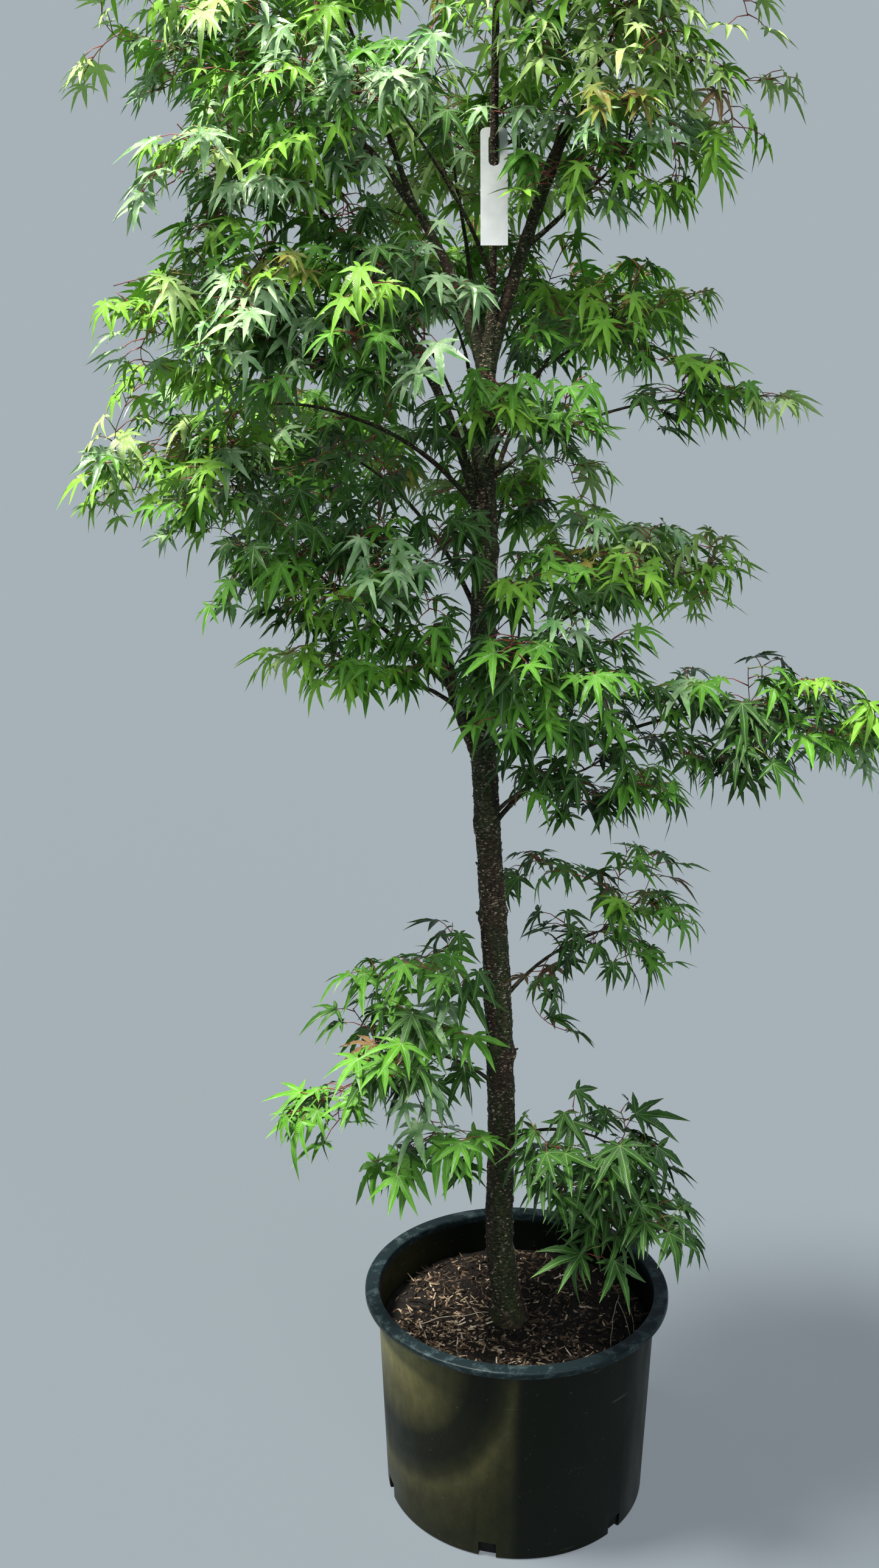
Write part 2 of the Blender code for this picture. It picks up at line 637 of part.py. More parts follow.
def grow_twigs(mass, foot, ahead, foot_width, rng):
    """Twigs from one stem. Each new twig leaves the best-placed point grown so far for its goal."""
    stem = bend(foot, ahead, Vector(mass.middle), TWIG_STEPS + 1)
    taper = (TWIG_TIP_WIDTH - foot_width) / (TWIG_STEPS + 1)
    twigs = [Twig(stem, [foot_width + taper * at for at in range(len(stem))], None)]
    for goal in sorted(goals_of(mass, rng), key=lambda goal: (goal - foot).length):
        best = None
        for number, twig in enumerate(twigs):
            for at in range(1, len(twig.path)):
                way = goal - twig.path[at]
                run = (twig.path[at] - twig.path[at - 1]).normalized()
                cost = way.length * (1 + STRAIGHT_GAIN * (1 - run.dot(way.normalized())))
                if way.length > LEAST_TWIG and (best is None or cost < best[0]):
                    best = (cost, number, twig.path[at], run, twig.widths[at])
        if best is None:
            continue
        _, number, start, run, width = best
        leave = (run + (goal - start).normalized()).normalized()
        path = bend(start - leave * TWIG_SINK, leave, goal, TWIG_STEPS)
        wide = max(width * SIDE_TWIG_SHARE, TWIG_TIP_WIDTH)
        taper = (TWIG_TIP_WIDTH - wide) / TWIG_STEPS
        twigs.append(Twig(path, [wide + taper * at for at in range(TWIG_STEPS + 1)], number))
    return twigs


def leaf_places(path):
    """Where a twig's leaves are: in opposite pairs, one pair half way along and one at its tip."""
    for at, shares in zip((len(path) // 2, len(path) - 1), LEAF_PAIRS):
        for hand, share in zip((-1, 1), shares):
            root = path[at - 1].lerp(path[at], share)
            yield root, (path[at] - path[at - 1]).normalized(), hand


def leaf_pose(root, run, hand, rng):
    """Hub, direction and normal of a leaf that leans out from its twig and droops."""
    side = run.cross(UP)
    side = side.normalized() if side.length > LEAST_SLANT else Vector((1, 0, 0))
    way = run * rng.uniform(*STALK_FORWARD) + side * hand * rng.uniform(*STALK_SIDEWAYS)
    way = (way + UP * rng.uniform(*STALK_UPWARD)).normalized()
    hub = root + way * STALK_LENGTH * rng.uniform(*STALK_LENGTH_RANGE)
    level = Vector((way.x, way.y, 0)).normalized()
    droop = math.radians(rng.uniform(*LEAF_DROOP))
    ahead = level * math.cos(droop) - UP * math.sin(droop)
    normal = level * math.sin(droop) + UP * math.cos(droop)
    return hub, ahead, normal + ahead.cross(normal) * rng.uniform(-LEAF_ROLL, LEAF_ROLL)


def add_part(parts, name, points, faces):
    """One closed shape that waits in the collection for the union."""
    part = solid(name, points, faces, LEAF)
    bpy.context.scene.collection.objects.unlink(part)
    parts.objects.link(part)


def keep_twigs(twigs, space, crown):
    """The twigs that keep to the space and touch nothing, with every twig that they grow from."""
    kept = {0: twigs[0]}
    for number, twig in enumerate(twigs):
        if number == 0 or twig.parent not in kept:
            continue
        if not all(within(space, point, SPACE_MARGIN) for point in twig.path[1:]):
            continue
        outer = [twig.path[0].lerp(twig.path[1], TWIG_TRIAL_SHARE)] + twig.path[1:]
        if crown.free(*tube(outer, twig.widths, TWIG_SIDES)):
            kept[number] = twig
    return kept


def add_leaf(place, name, space, crown, parts, rng):
    """A leaf, tried in a few poses and left out where none of them is free. Whether it was added."""
    root, run, hand = place
    for attempt in range(LEAF_TRIES):
        hub, ahead, normal = leaf_pose(root, run, hand, rng)
        size = LEAF_SIZE * rng.uniform(*LEAF_SIZE_RANGE)
        points, faces = leaf_shape(root, hub, ahead, normal, size)
        trial = leaf_shape(root.lerp(hub, TRIAL_SHARE), hub, ahead, normal, size)
        if all(within(space, point, SPACE_MARGIN) for point in points[:RIM_POINTS]) and crown.free(*trial):
            add_part(parts, f"{name}_{hand}", points, outward(points, faces))
            crown.add(*trial)
            return True
    return False


def make_mass(mass, limbs, crown):
    """One mass: its twigs and leaves that keep to its space, joined by one Boolean union."""
    rng = random.Random(mass.seed)
    space = (mass.middle, mass.reach)
    path, widths, _ = limbs[mass.limb]
    ahead = (path[-1] - path[-2]).normalized()
    foot = path[-1] + ahead * SEAT
    twigs = keep_twigs(grow_twigs(mass, foot, ahead, widths[-1], rng), space, crown)
    parts = bpy.data.collections.new(f"{mass.name}_parts")
    bpy.context.scene.collection.children.link(parts)
    name = f"leaves_{mass.name}"
    whole = None
    for number, twig in twigs.items():
        first_way = None if number else ahead
        points, faces = tube(twig.path, twig.widths, TWIG_SIDES, number, first_way)
        crown.add(points, faces)
        if number == 0:
            whole = solid(name, points, faces, LEAF)
        else:
            add_part(parts, f"{name}_twig_{number}", points, faces)
    count = 0
    for place in [place for twig in reversed(twigs.values()) for place in leaf_places(twig.path)]:
        if count < MOST_LEAVES and add_leaf(place, name, space, crown, parts, rng):
            count += 1
    join = whole.modifiers.new("join", "BOOLEAN")
    join.operation = "UNION"
    join.operand_type = "COLLECTION"
    join.collection = parts
    join.solver = "MANIFOLD"
    freeze(whole)
    for part in list(parts.objects):
        bpy.data.objects.remove(part, do_unlink=True)
    bpy.data.collections.remove(parts)
    keep_largest(whole)
    draw_together(whole, JOINT_DETAIL)
    print(f"{name}: {len(twigs)} twigs, {count} leaves, {len(whole.data.polygons)} triangles")
    return count


pot = make_pot()
soil = make_soil()
limbs, limb_pieces = make_limbs()
label = make_label()
bpy.context.view_layer.update()
crown = Crown([pot, soil, label] + list(limb_pieces.values()))
leaf_count = sum(make_mass(mass, limbs, crown) for mass in MASSES)
print(f"{leaf_count} leaves in {len(MASSES)} masses")
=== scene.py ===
# %% [markdown]
# # A young rough-bark maple in its nursery pot
#
# The real object is a garden maple of about two metres, grown in a black nursery pot. Its trunk is
# slim and warty, its boughs are thin, and its leaves hang in open sprays like green hands.
# This lesson dresses a packed model of it. The packed solids give every place and size, and each
# cell below makes one part of the looks around them: pot, soil, bark, label, twigs and leaves.
#
# The first lines load the packed model. Blender seeds its noise by the clock, so a fixed seed is set
# here: every run then grows the same tree.

import json
import math
import random
from collections import namedtuple

import bpy
import numpy as np
from mathutils import Matrix, Vector, noise

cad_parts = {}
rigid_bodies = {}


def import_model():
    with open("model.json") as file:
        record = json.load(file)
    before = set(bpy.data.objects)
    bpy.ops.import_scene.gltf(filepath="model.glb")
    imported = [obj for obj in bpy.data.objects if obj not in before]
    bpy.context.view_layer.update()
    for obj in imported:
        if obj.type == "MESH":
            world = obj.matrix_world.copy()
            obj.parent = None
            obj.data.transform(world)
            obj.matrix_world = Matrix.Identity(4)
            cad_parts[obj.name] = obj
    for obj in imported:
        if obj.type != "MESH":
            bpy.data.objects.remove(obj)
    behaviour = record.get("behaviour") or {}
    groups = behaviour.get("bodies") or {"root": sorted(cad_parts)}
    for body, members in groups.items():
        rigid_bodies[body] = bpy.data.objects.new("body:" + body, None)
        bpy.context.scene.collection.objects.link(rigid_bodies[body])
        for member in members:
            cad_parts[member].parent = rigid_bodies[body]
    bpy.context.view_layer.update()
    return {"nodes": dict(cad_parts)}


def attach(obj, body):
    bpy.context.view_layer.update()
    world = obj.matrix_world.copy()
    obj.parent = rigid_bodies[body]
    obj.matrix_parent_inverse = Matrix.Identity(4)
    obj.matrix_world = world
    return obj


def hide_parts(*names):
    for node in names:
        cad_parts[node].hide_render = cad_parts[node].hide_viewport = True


NOISE_SEED = 4

noise.seed_set(NOISE_SEED)
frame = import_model()
print("nodes in the packed model:", len(frame["nodes"]))

# %% [markdown]
# ## Camera
#
# The photograph was taken by someone standing in front of the plant, who held the camera upright
# and looked a little down. A camera in Blender can be matched by eye, or worked out. Here it was
# worked out from the ellipses of the pot and the height of the horizon, because a wrong distance
# shows at once in the ellipse of the rim. The focal length in pixels becomes a lens in millimetres.

# %% Camera
PHOTO_WIDTH, PHOTO_HEIGHT = 1444, 2576
FOCAL_PIXELS = 2550
SENSOR = 36.0
CAMERA_PLACE = (-0.094, -1.704, 1.313)
LOOKS_DOWN = 13.79

camera_data = bpy.data.cameras.new("camera")
camera_data.sensor_width = SENSOR
camera_data.lens = SENSOR * FOCAL_PIXELS / max(PHOTO_WIDTH, PHOTO_HEIGHT)
camera = bpy.data.objects.new("camera", camera_data)
camera.location = CAMERA_PLACE
camera.rotation_euler = (math.radians(90 - LOOKS_DOWN), 0, 0)
bpy.context.scene.collection.objects.link(camera)
bpy.context.scene.camera = camera
print("lens:", round(camera_data.lens, 2), "mm")

# %% [markdown]
# ## A short way to build materials
#
# Every finish below is a network of shader nodes that ends in one Principled shader. Typing out
# each node and each link hides the idea, so a small class gives the steps a name: noise, ramp, mix
# and bump. Patterns read Object coordinates, so they stay put when the view changes. Values that
# are the same all over the surface are set on the shader itself.

# %% Finish helper
class Finish:
    """A material, its Principled shader, and short ways to add nodes in front of it."""

    def __init__(self, name, roughness, specular=0.5):
        self.material = bpy.data.materials.new(name)
        self.material.use_nodes = True
        self.tree = self.material.node_tree
        self.shader = self.tree.nodes["Principled BSDF"]
        self.shader.inputs["Roughness"].default_value = roughness
        self.shader.inputs["Specular IOR Level"].default_value = specular
        self.place = self.node("ShaderNodeTexCoord").outputs["Object"]

    def node(self, kind, **settings):
        made = self.tree.nodes.new(kind)
        for name, value in settings.items():
            setattr(made, name, value)
        return made

    def feed(self, socket, value):
        """Links an output to the socket, or sets the socket to a number or a colour."""
        if isinstance(value, bpy.types.NodeSocket):
            self.tree.links.new(value, socket)
        elif isinstance(value, tuple):
            socket.default_value = (*value, 1.0)
        else:
            socket.default_value = value

    def noise(self, scale, detail=3.0, stretch=(1, 1, 1), rough=0.5, seed=0.0):
        spread = self.node("ShaderNodeMapping")
        spread.inputs["Scale"].default_value = stretch
        spread.inputs["Location"].default_value = (seed, seed * 0.7, seed * 0.3)
        self.feed(spread.inputs["Vector"], self.place)
        made = self.node("ShaderNodeTexNoise")
        self.feed(made.inputs["Vector"], spread.outputs["Vector"])
        made.inputs["Scale"].default_value = scale
        made.inputs["Detail"].default_value = detail
        made.inputs["Roughness"].default_value = rough
        return made.outputs["Fac"]

    def ramp(self, source, *stops):
        """Turns a number into a colour. Each stop is a position and a colour or a grey."""
        made = self.node("ShaderNodeValToRGB")
        elements = made.color_ramp.elements
        while len(elements) < len(stops):
            elements.new(0.5)
        for element, (position, colour) in zip(elements, stops):
            element.position = position
            element.color = (*colour, 1.0) if isinstance(colour, tuple) else (colour, colour, colour, 1.0)
        self.feed(made.inputs["Fac"], source)
        return made.outputs["Color"]

    def mix(self, share, first, second, blend="MIX"):
        made = self.node("ShaderNodeMix", data_type="RGBA", blend_type=blend)
        self.feed(made.inputs["Factor"], share)
        self.feed(made.inputs[6], first)
        self.feed(made.inputs[7], second)
        return made.outputs[2]

    def sum(self, first, second, operation="ADD"):
        made = self.node("ShaderNodeMath", operation=operation)
        self.feed(made.inputs[0], first)
        self.feed(made.inputs[1], second)
        return made.outputs[0]

    def attribute(self, name):
        return self.node("ShaderNodeAttribute", attribute_name=name).outputs["Fac"]

    def colour(self, source):
        self.feed(self.shader.inputs["Base Color"], source)

    def bump(self, height, distance, strength=1.0):
        made = self.node("ShaderNodeBump")
        made.inputs["Distance"].default_value = distance
        made.inputs["Strength"].default_value = strength
        self.feed(made.inputs["Height"], height)
        self.feed(self.shader.inputs["Normal"], made.outputs["Normal"])


print("shorthands:", ", ".join(name for name in vars(Finish) if not name.startswith("_")))

# %% [markdown]
# ## Short ways to make meshes
#
# Most pieces below are worked out as lists of points and faces, which is exact and quick for things
# that follow a rule. These helpers put such lists in the scene, join many small parts in one mesh,
# lay rings of points along a curved limb, and turn live modifiers into plain mesh.

# %% Mesh helpers
def mesh_object(name, points, faces, *finishes):
    """One mesh object at the origin, with smooth shading."""
    mesh = bpy.data.meshes.new(name)
    mesh.from_pydata([tuple(point) for point in points], [], faces)
    for finish in finishes:
        mesh.materials.append(finish.material)
    mesh.shade_smooth()
    made = bpy.data.objects.new(name, mesh)
    bpy.context.scene.collection.objects.link(made)
    return made


def settle(made):
    """Replaces the object's mesh by what its modifiers give, and removes them."""
    graph = bpy.context.evaluated_depsgraph_get()
    mesh = bpy.data.meshes.new_from_object(made.evaluated_get(graph))
    made.modifiers.clear()
    made.data = mesh


def triangles(made):
    made.data.calc_loop_triangles()
    return len(made.data.loop_triangles)


def join_parts(parts):
    """The points and faces of several parts as one list of each."""
    points, faces = [], []
    for part_points, part_faces in parts:
        shift = len(points)
        points += part_points
        faces += [tuple(corner + shift for corner in face) for face in part_faces]
    return points, faces


def frames_along(path):
    """Each point of a path with two directions across it, which twist as little as they can."""
    side = None
    for at, centre in enumerate(path):
        ahead = (path[min(at + 1, len(path) - 1)] - path[max(at - 1, 0)]).normalized()
        side = (ahead.orthogonal() if side is None else side - ahead * side.dot(ahead)).normalized()
        yield centre, side, ahead.cross(side)


def tube_faces(rings, sides):
    """The faces between the rings of a tube, and the cap on its first ring."""
    faces = []
    for ring in range(rings - 1):
        for corner in range(sides):
            low = ring * sides + corner
            low_next = ring * sides + (corner + 1) % sides
            faces.append((low, low_next, low_next + sides, low + sides))
    faces.append(tuple(reversed(range(sides))))
    return faces


print("mesh helpers are ready")

# %% [markdown]
# ## Floor and light
#
# The plant stands in a plain studio: a pale floor, a pale sky that lights it from all round, one
# large soft lamp high on the left as the sun was, and a weaker one on the right. Small lamps would
# draw hard black shadows among the leaves. A large one gives the soft modelling of a bright day.
# The floor glows a little, like the sweep of a studio, so that the shadow on it stays light.

# %% Floor and light
FLOOR_RADIUS = 60.0
FLOOR_SIDES = 96
PALE = (0.058, 0.068, 0.076)
GLOW = (0.181, 0.207, 0.227)
HORIZON = (0.385, 0.445, 0.480)
ZENITH = (0.15, 0.185, 0.225)
KEY_STRENGTH = 10.6
KEY_FROM = (-0.36, -0.08, 0.90)
KEY_SOFTNESS = 13.0
FILL_STRENGTH = 1.5
FILL_FROM = (0.35, -0.80, 0.50)

floor_finish = Finish("pale_floor", roughness=1.0, specular=0.0)
floor_finish.colour(PALE)
floor_finish.shader.inputs["Emission Color"].default_value = (*GLOW, 1.0)
floor_finish.shader.inputs["Emission Strength"].default_value = 1.0
rim = [math.tau * side / FLOOR_SIDES for side in range(FLOOR_SIDES)]
floor_points = [(FLOOR_RADIUS * math.cos(turn), FLOOR_RADIUS * math.sin(turn), 0.0) for turn in rim]
floor = mesh_object("floor", floor_points, [tuple(range(FLOOR_SIDES))], floor_finish)

world = bpy.data.worlds.new("studio")
bpy.context.scene.world = world
world.use_nodes = True
sky = world.node_tree
direction = sky.nodes.new("ShaderNodeTexCoord")
height = sky.nodes.new("ShaderNodeSeparateXYZ")
shade = sky.nodes.new("ShaderNodeValToRGB")
shade.color_ramp.elements[0].position, shade.color_ramp.elements[0].color = 0.24, (*HORIZON, 1)
shade.color_ramp.elements[1].position, shade.color_ramp.elements[1].color = 0.55, (*ZENITH, 1)
sky.links.new(direction.outputs["Generated"], height.inputs[0])
sky.links.new(height.outputs["Z"], shade.inputs["Fac"])
sky.links.new(shade.outputs["Color"], sky.nodes["Background"].inputs["Color"])


def far_lamp(name, comes_from, softness, strength, colour):
    data = bpy.data.lights.new(name, "SUN")
    data.angle = math.radians(softness)
    data.energy = strength
    data.color = colour
    lamp = bpy.data.objects.new(name, data)
    lamp.rotation_euler = Vector(comes_from).to_track_quat("Z", "Y").to_euler()
    bpy.context.scene.collection.objects.link(lamp)
    return lamp


far_lamp("key_lamp", KEY_FROM, KEY_SOFTNESS, KEY_STRENGTH, (1.0, 0.97, 0.90))
far_lamp("fill_lamp", FILL_FROM, 40.0, FILL_STRENGTH, (0.92, 0.96, 1.0))
bpy.context.scene.view_settings.view_transform = "Standard"

# %% [markdown]
# ## The nursery pot
#
# The pot is blow-moulded from black plastic: a tapering wall with a broad lip rolled outwards, and
# square drain notches where the wall meets the floor. It could be a cylinder pulled about by hand.
# A profile turned round the axis is truer, because the real pot is a body of revolution. The
# notches are cut by Booleans, and the cutters are removed once the cuts are applied.

# %% Pot shape
POT_HEIGHT = 0.265
RIM_RADIUS = 0.185
FOOT_RADIUS = 0.159
SHOULDER_RADIUS = 0.1695
POT_WALL = 0.003
POT_FLOOR = 0.004
LIP_BAND = 0.015
LIP_SKIRT = 0.008
LIP_ROLL = 0.0025
LIP_HOLLOW = 0.0007
POT_SIDES = 128
NOTCHES = 6
NOTCH_SIZE = (0.018, 0.021, 0.020)
FIRST_NOTCH = -104.0
SHARP_FROM = 35


def arc(centre, radius, first, last, steps):
    """Points of an arc in the plane of the profile, angles in degrees."""
    turns = [math.radians(first + (last - first) * step / steps) for step in range(steps + 1)]
    return [(centre[0] + radius * math.cos(turn), centre[1] + radius * math.sin(turn)) for turn in turns]


def turned(name, profile, sides, *finishes):
    """A closed body of revolution. The profile runs from the axis below to the axis on top."""
    points = [(0, 0, profile[0][1])]
    for radius, height in profile[1:-1]:
        for side in range(sides):
            turn = math.tau * side / sides
            points.append((radius * math.cos(turn), radius * math.sin(turn), height))
    points.append((0, 0, profile[-1][1]))
    faces = []
    for side in range(sides):
        after = (side + 1) % sides
        faces.append((0, 1 + after, 1 + side))
        for ring in range(len(profile) - 3):
            low = 1 + ring * sides
            faces.append((low + side, low + after, low + sides + after, low + sides + side))
        high = 1 + (len(profile) - 3) * sides
        faces.append((high + side, high + after, len(points) - 1))
    return mesh_object(name, points, faces, *finishes)


lip_top = POT_HEIGHT - LIP_ROLL
skirt = POT_HEIGHT - LIP_SKIRT
pot_profile = [(0, 0)]
pot_profile += arc((FOOT_RADIUS - 0.003, 0.003), 0.003, -90, 0, 4)
pot_profile += [(SHOULDER_RADIUS - 0.0012, skirt - 0.030), (SHOULDER_RADIUS, skirt - 0.004)]
pot_profile += arc((SHOULDER_RADIUS + 0.003, skirt - 0.003), 0.003, 180, 90, 3)
pot_profile += arc((RIM_RADIUS - 0.001, skirt + 0.001), 0.001, -90, 0, 3)
pot_profile += arc((RIM_RADIUS - LIP_ROLL, lip_top), LIP_ROLL, 0, 90, 6)
pot_profile += [(RIM_RADIUS - LIP_BAND / 2, POT_HEIGHT - LIP_HOLLOW)]
pot_profile += arc((RIM_RADIUS - LIP_BAND, lip_top), LIP_ROLL, 90, 175, 5)
pot_profile += [(SHOULDER_RADIUS - POT_WALL, skirt - 0.006), (FOOT_RADIUS - POT_WALL, POT_FLOOR)]
pot_profile += [(0, POT_FLOOR)]

# %% [markdown]
# ## Pot plastic
#
# Old nursery pots aren't plain black. The olive-brown film on the outer wall is painted light: painted
# sunlight on the left side and painted reflections of the surroundings, mottled by a noise. There are
# fine upright scuffs and a few long pale scratches, and the lip is polished by hands and looks
# blue-grey. Each of these is one pattern, stretched to its own direction and mixed in turn. A dark arc
# on the left is a painted shadow cast by the rim and the plant, so its ramp reads the distance from the
# arc's middle, and a second ramp thins the painted light towards the right. A ramp can't read below
# nought, which is why half a metre is added there. The painted light stays off the inner wall.

# %% Pot finish
BLACK_PLASTIC = (0.0018, 0.0034, 0.0016)
# Olive-brown of the painted sunlight and painted reflections on the wall
PAINTED_SHEEN = (0.225, 0.208, 0.080)
SCRATCH = (0.12, 0.12, 0.09)
SHADOW_ARC_MIDDLE = (-0.160, 0.252)
SHADOW_ARC_REACH = (0.114, 0.142)
# How much painted light lies at a quarter of the distance from the painted shadow arc's middle, in its
# reaches
PAINTED_LIGHT_BY_ARC = (
    (0.06, 1.0), (0.134, 0.38), (0.190, 0.18), (0.225, 0.03), (0.275, 0.02), (0.310, 0.08),
    (0.338, 0.24), (0.375, 0.13), (0.450, 0.07),
)
# How much of the painted light stays from left to right, with half a metre added to X
PAINTED_LIGHT_ACROSS = ((0.486, 1.0), (0.498, 0.10), (0.62, 0.05), (0.66, 0.20))
LIP_GREY = (0.006, 0.012, 0.014)
LIP_WEAR = (0.070, 0.105, 0.110)
LIP_FROM, LIP_FULL = 0.2560, 0.2585


def pot_finish():
    made = Finish("pot_plastic", roughness=0.4, specular=0.11)
    place = made.node("ShaderNodeSeparateXYZ")
    made.feed(place.inputs[0], made.place)
    # The painted shadow arc: how far a point is from its middle, in its reaches
    left = made.sum(made.sum(place.outputs["X"], SHADOW_ARC_MIDDLE[0], "SUBTRACT"), SHADOW_ARC_REACH[0], "DIVIDE")
    drop = made.sum(made.sum(place.outputs["Z"], SHADOW_ARC_MIDDLE[1], "SUBTRACT"), SHADOW_ARC_REACH[1], "DIVIDE")
    away = made.sum(made.sum(left, left, "MULTIPLY"), made.sum(drop, drop, "MULTIPLY"), "ADD")
    painted_shadow_arc = made.ramp(made.sum(made.sum(away, 0.5, "POWER"), 0.25, "MULTIPLY"), *PAINTED_LIGHT_BY_ARC)
    # Painted sunlight on the left side, thinning towards the right
    painted_lit_side = made.ramp(made.sum(place.outputs["X"], 0.5, "ADD"), *PAINTED_LIGHT_ACROSS)
    # A noise mottles the painted sheen
    sheen_mottle = made.ramp(made.noise(60, 5, (1, 1, 0.6), 0.7), (0.30, 0.55), (0.70, 1.0))
    painted_light = made.sum(made.sum(painted_shadow_arc, painted_lit_side, "MULTIPLY"), sheen_mottle, "MULTIPLY")
    radius = made.node("ShaderNodeVectorMath", operation="LENGTH")
    flat = made.node("ShaderNodeVectorMath", operation="MULTIPLY")
    flat.inputs[1].default_value = (1, 1, 0)
    made.feed(flat.inputs[0], made.place)
    made.feed(radius.inputs[0], flat.outputs[0])
    slope = (SHOULDER_RADIUS - FOOT_RADIUS) / (POT_HEIGHT - LIP_SKIRT)
    edge = made.sum(made.sum(place.outputs["Z"], slope, "MULTIPLY"), FOOT_RADIUS - POT_WALL / 2, "ADD")
    beyond = made.sum(made.sum(radius.outputs["Value"], edge, "SUBTRACT"), 0.5 / POT_WALL, "MULTIPLY")
    outside = made.ramp(made.sum(beyond, 0.5, "ADD"), (0.35, 0.06), (0.65, 1.0))
    painted_light = made.sum(painted_light, outside, "MULTIPLY")
    # The painted sunlight, reflections and shadow arc go on the black plastic of the outer wall
    wall = made.mix(painted_light, BLACK_PLASTIC, PAINTED_SHEEN)
    scratches = made.ramp(made.noise(42, 6, (0.16, 0.16, 1.7), 0.62, seed=8), (0.655, 0.0), (0.70, 0.22))
    wall = made.mix(scratches, wall, SCRATCH)
    specks = made.ramp(made.noise(330, 1, seed=5), (0.745, 0.0), (0.78, 0.35))
    wall = made.mix(specks, wall, SCRATCH)
    wear = made.ramp(made.noise(60, 6, (1, 1, 2.5), 0.7, seed=2), (0.50, 0.0), (0.80, 0.85))
    lip = made.mix(wear, LIP_GREY, LIP_WEAR)
    on_lip = made.ramp(place.outputs["Z"], (LIP_FROM, 0.0), (LIP_FULL, 1.0))
    made.colour(made.mix(on_lip, wall, lip))
    gloss = made.ramp(made.noise(30, 4, (1, 1, 0.4), seed=1), (0.3, 0.34), (0.75, 0.52))
    made.feed(made.shader.inputs["Roughness"], gloss)
    ripple = made.sum(made.noise(5, 2, (1, 1, 0.5)), made.noise(420, 3, (1, 1, 0.4), 0.6), "ADD")
    made.bump(ripple, 0.0006, 0.35)
    return made


pot_plastic = pot_finish()
print("pot plastic:", len(pot_plastic.tree.nodes), "nodes")

# %% [markdown]
# ## Cutting the notches
#
# The profile is turned to the pot's body. Then each drain notch is cut by a Boolean with a plain box
# as its cutter. Pushing points of the wall about would do it too, but a Boolean keeps the edges crisp.
# The cuts are applied, the boxes are deleted, and edges sharper than 35 degrees stay sharp.

# %% Pot body
pot = turned("pot_shell", pot_profile, POT_SIDES, pot_plastic)
cutters = []
for index in range(NOTCHES):
    turn = math.radians(FIRST_NOTCH + 360 * index / NOTCHES)
    middle = FOOT_RADIUS + 0.004 - NOTCH_SIZE[0] / 2
    place = Matrix.Translation((middle * math.cos(turn), middle * math.sin(turn), 0))
    size = Matrix.Diagonal((*NOTCH_SIZE[:2], NOTCH_SIZE[2] * 2, 1))
    bpy.ops.mesh.primitive_cube_add(size=1)
    cutter = bpy.context.object
    cutter.data.transform(place @ Matrix.Rotation(turn, 4, "Z") @ size)
    cutters.append(cutter)
    cut = pot.modifiers.new(f"notch_{index}", "BOOLEAN")
    cut.operation = "DIFFERENCE"
    cut.object = cutter
settle(pot)
for cutter in cutters:
    bpy.data.objects.remove(cutter, do_unlink=True)
pot.data.set_sharp_from_angle(angle=math.radians(SHARP_FROM))
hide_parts("pot")
print("pot:", triangles(pot), "triangles")

# %% [markdown]
# ## Potting mix
#
# The soil is a damp, nearly black bark mix. Under its loose litter it is a lumpy surface that sinks
# a little towards the wall. Rings of points with a noise in their height make it. It is closed
# underneath, so that it stays a solid body like the one that it replaces.

# %% Soil body
SEAT = 0.0003
SOIL_LEVEL = 0.220
SOIL_DIP = 0.006
SOIL_FLAT = 0.034
SOIL_RINGS = 64
SOIL_SIDES = 160
SOIL_LUMPS = 0.0030
LUMP_SIZE = 0.016
EARTH = (
    (0.34, (0.0016, 0.0014, 0.0011)),
    (0.60, (0.007, 0.0054, 0.004)),
    (0.76, (0.034, 0.027, 0.019)),
)


def wall_radius(height):
    """The inner radius of the pot's wall at a height, less a little room for the soil."""
    share = height / (POT_HEIGHT - LIP_SKIRT)
    return FOOT_RADIUS + (SHOULDER_RADIUS - FOOT_RADIUS) * share - POT_WALL - 3 * SEAT


def soil_height(x, y):
    """The soil's level: flat round the trunk, lower at the wall, and lumpy."""
    away = math.hypot(x, y)
    fall = max(0.0, away - SOIL_FLAT) / (wall_radius(SOIL_LEVEL) - SOIL_FLAT)
    coarse = noise.noise(Vector((x, y, 0.3)) / LUMP_SIZE)
    fine = noise.noise(Vector((x, y, 0.7)) / (LUMP_SIZE / 4))
    lumps = SOIL_LUMPS * (0.7 * coarse + 0.45 * fine) * min(1, fall * 6 + 0.2)
    return SOIL_LEVEL - SOIL_DIP * fall * fall + lumps


def soil_finish():
    made = Finish("potting_mix", roughness=0.95, specular=0.25)
    grain = made.noise(190, 6, rough=0.7)
    made.colour(made.ramp(grain, *EARTH))
    made.bump(made.noise(320, 5, rough=0.7), 0.002, 0.9)
    return made


soil_points = [(0, 0, soil_height(0, 0))]
soil_faces = []
soil_edge = wall_radius(SOIL_LEVEL - SOIL_DIP)
for ring in range(1, SOIL_RINGS + 1):
    for side in range(SOIL_SIDES):
        turn = math.tau * side / SOIL_SIDES
        x, y = (soil_edge * ring / SOIL_RINGS * way for way in (math.cos(turn), math.sin(turn)))
        soil_points.append((x, y, soil_height(x, y)))
for side in range(SOIL_SIDES):
    after = (side + 1) % SOIL_SIDES
    soil_faces.append((0, 1 + side, 1 + after))
    for ring in range(SOIL_RINGS - 1):
        low = 1 + ring * SOIL_SIDES
        soil_faces.append((low + side, low + SOIL_SIDES + side, low + SOIL_SIDES + after, low + after))
soil_cover = mesh_object("soil_cover", soil_points, soil_faces)
foot_ring = len(soil_points)
last_ring = foot_ring - SOIL_SIDES
foot = POT_FLOOR + SEAT
for side in range(SOIL_SIDES):
    turn = math.tau * side / SOIL_SIDES
    soil_points.append((wall_radius(foot) * math.cos(turn), wall_radius(foot) * math.sin(turn), foot))
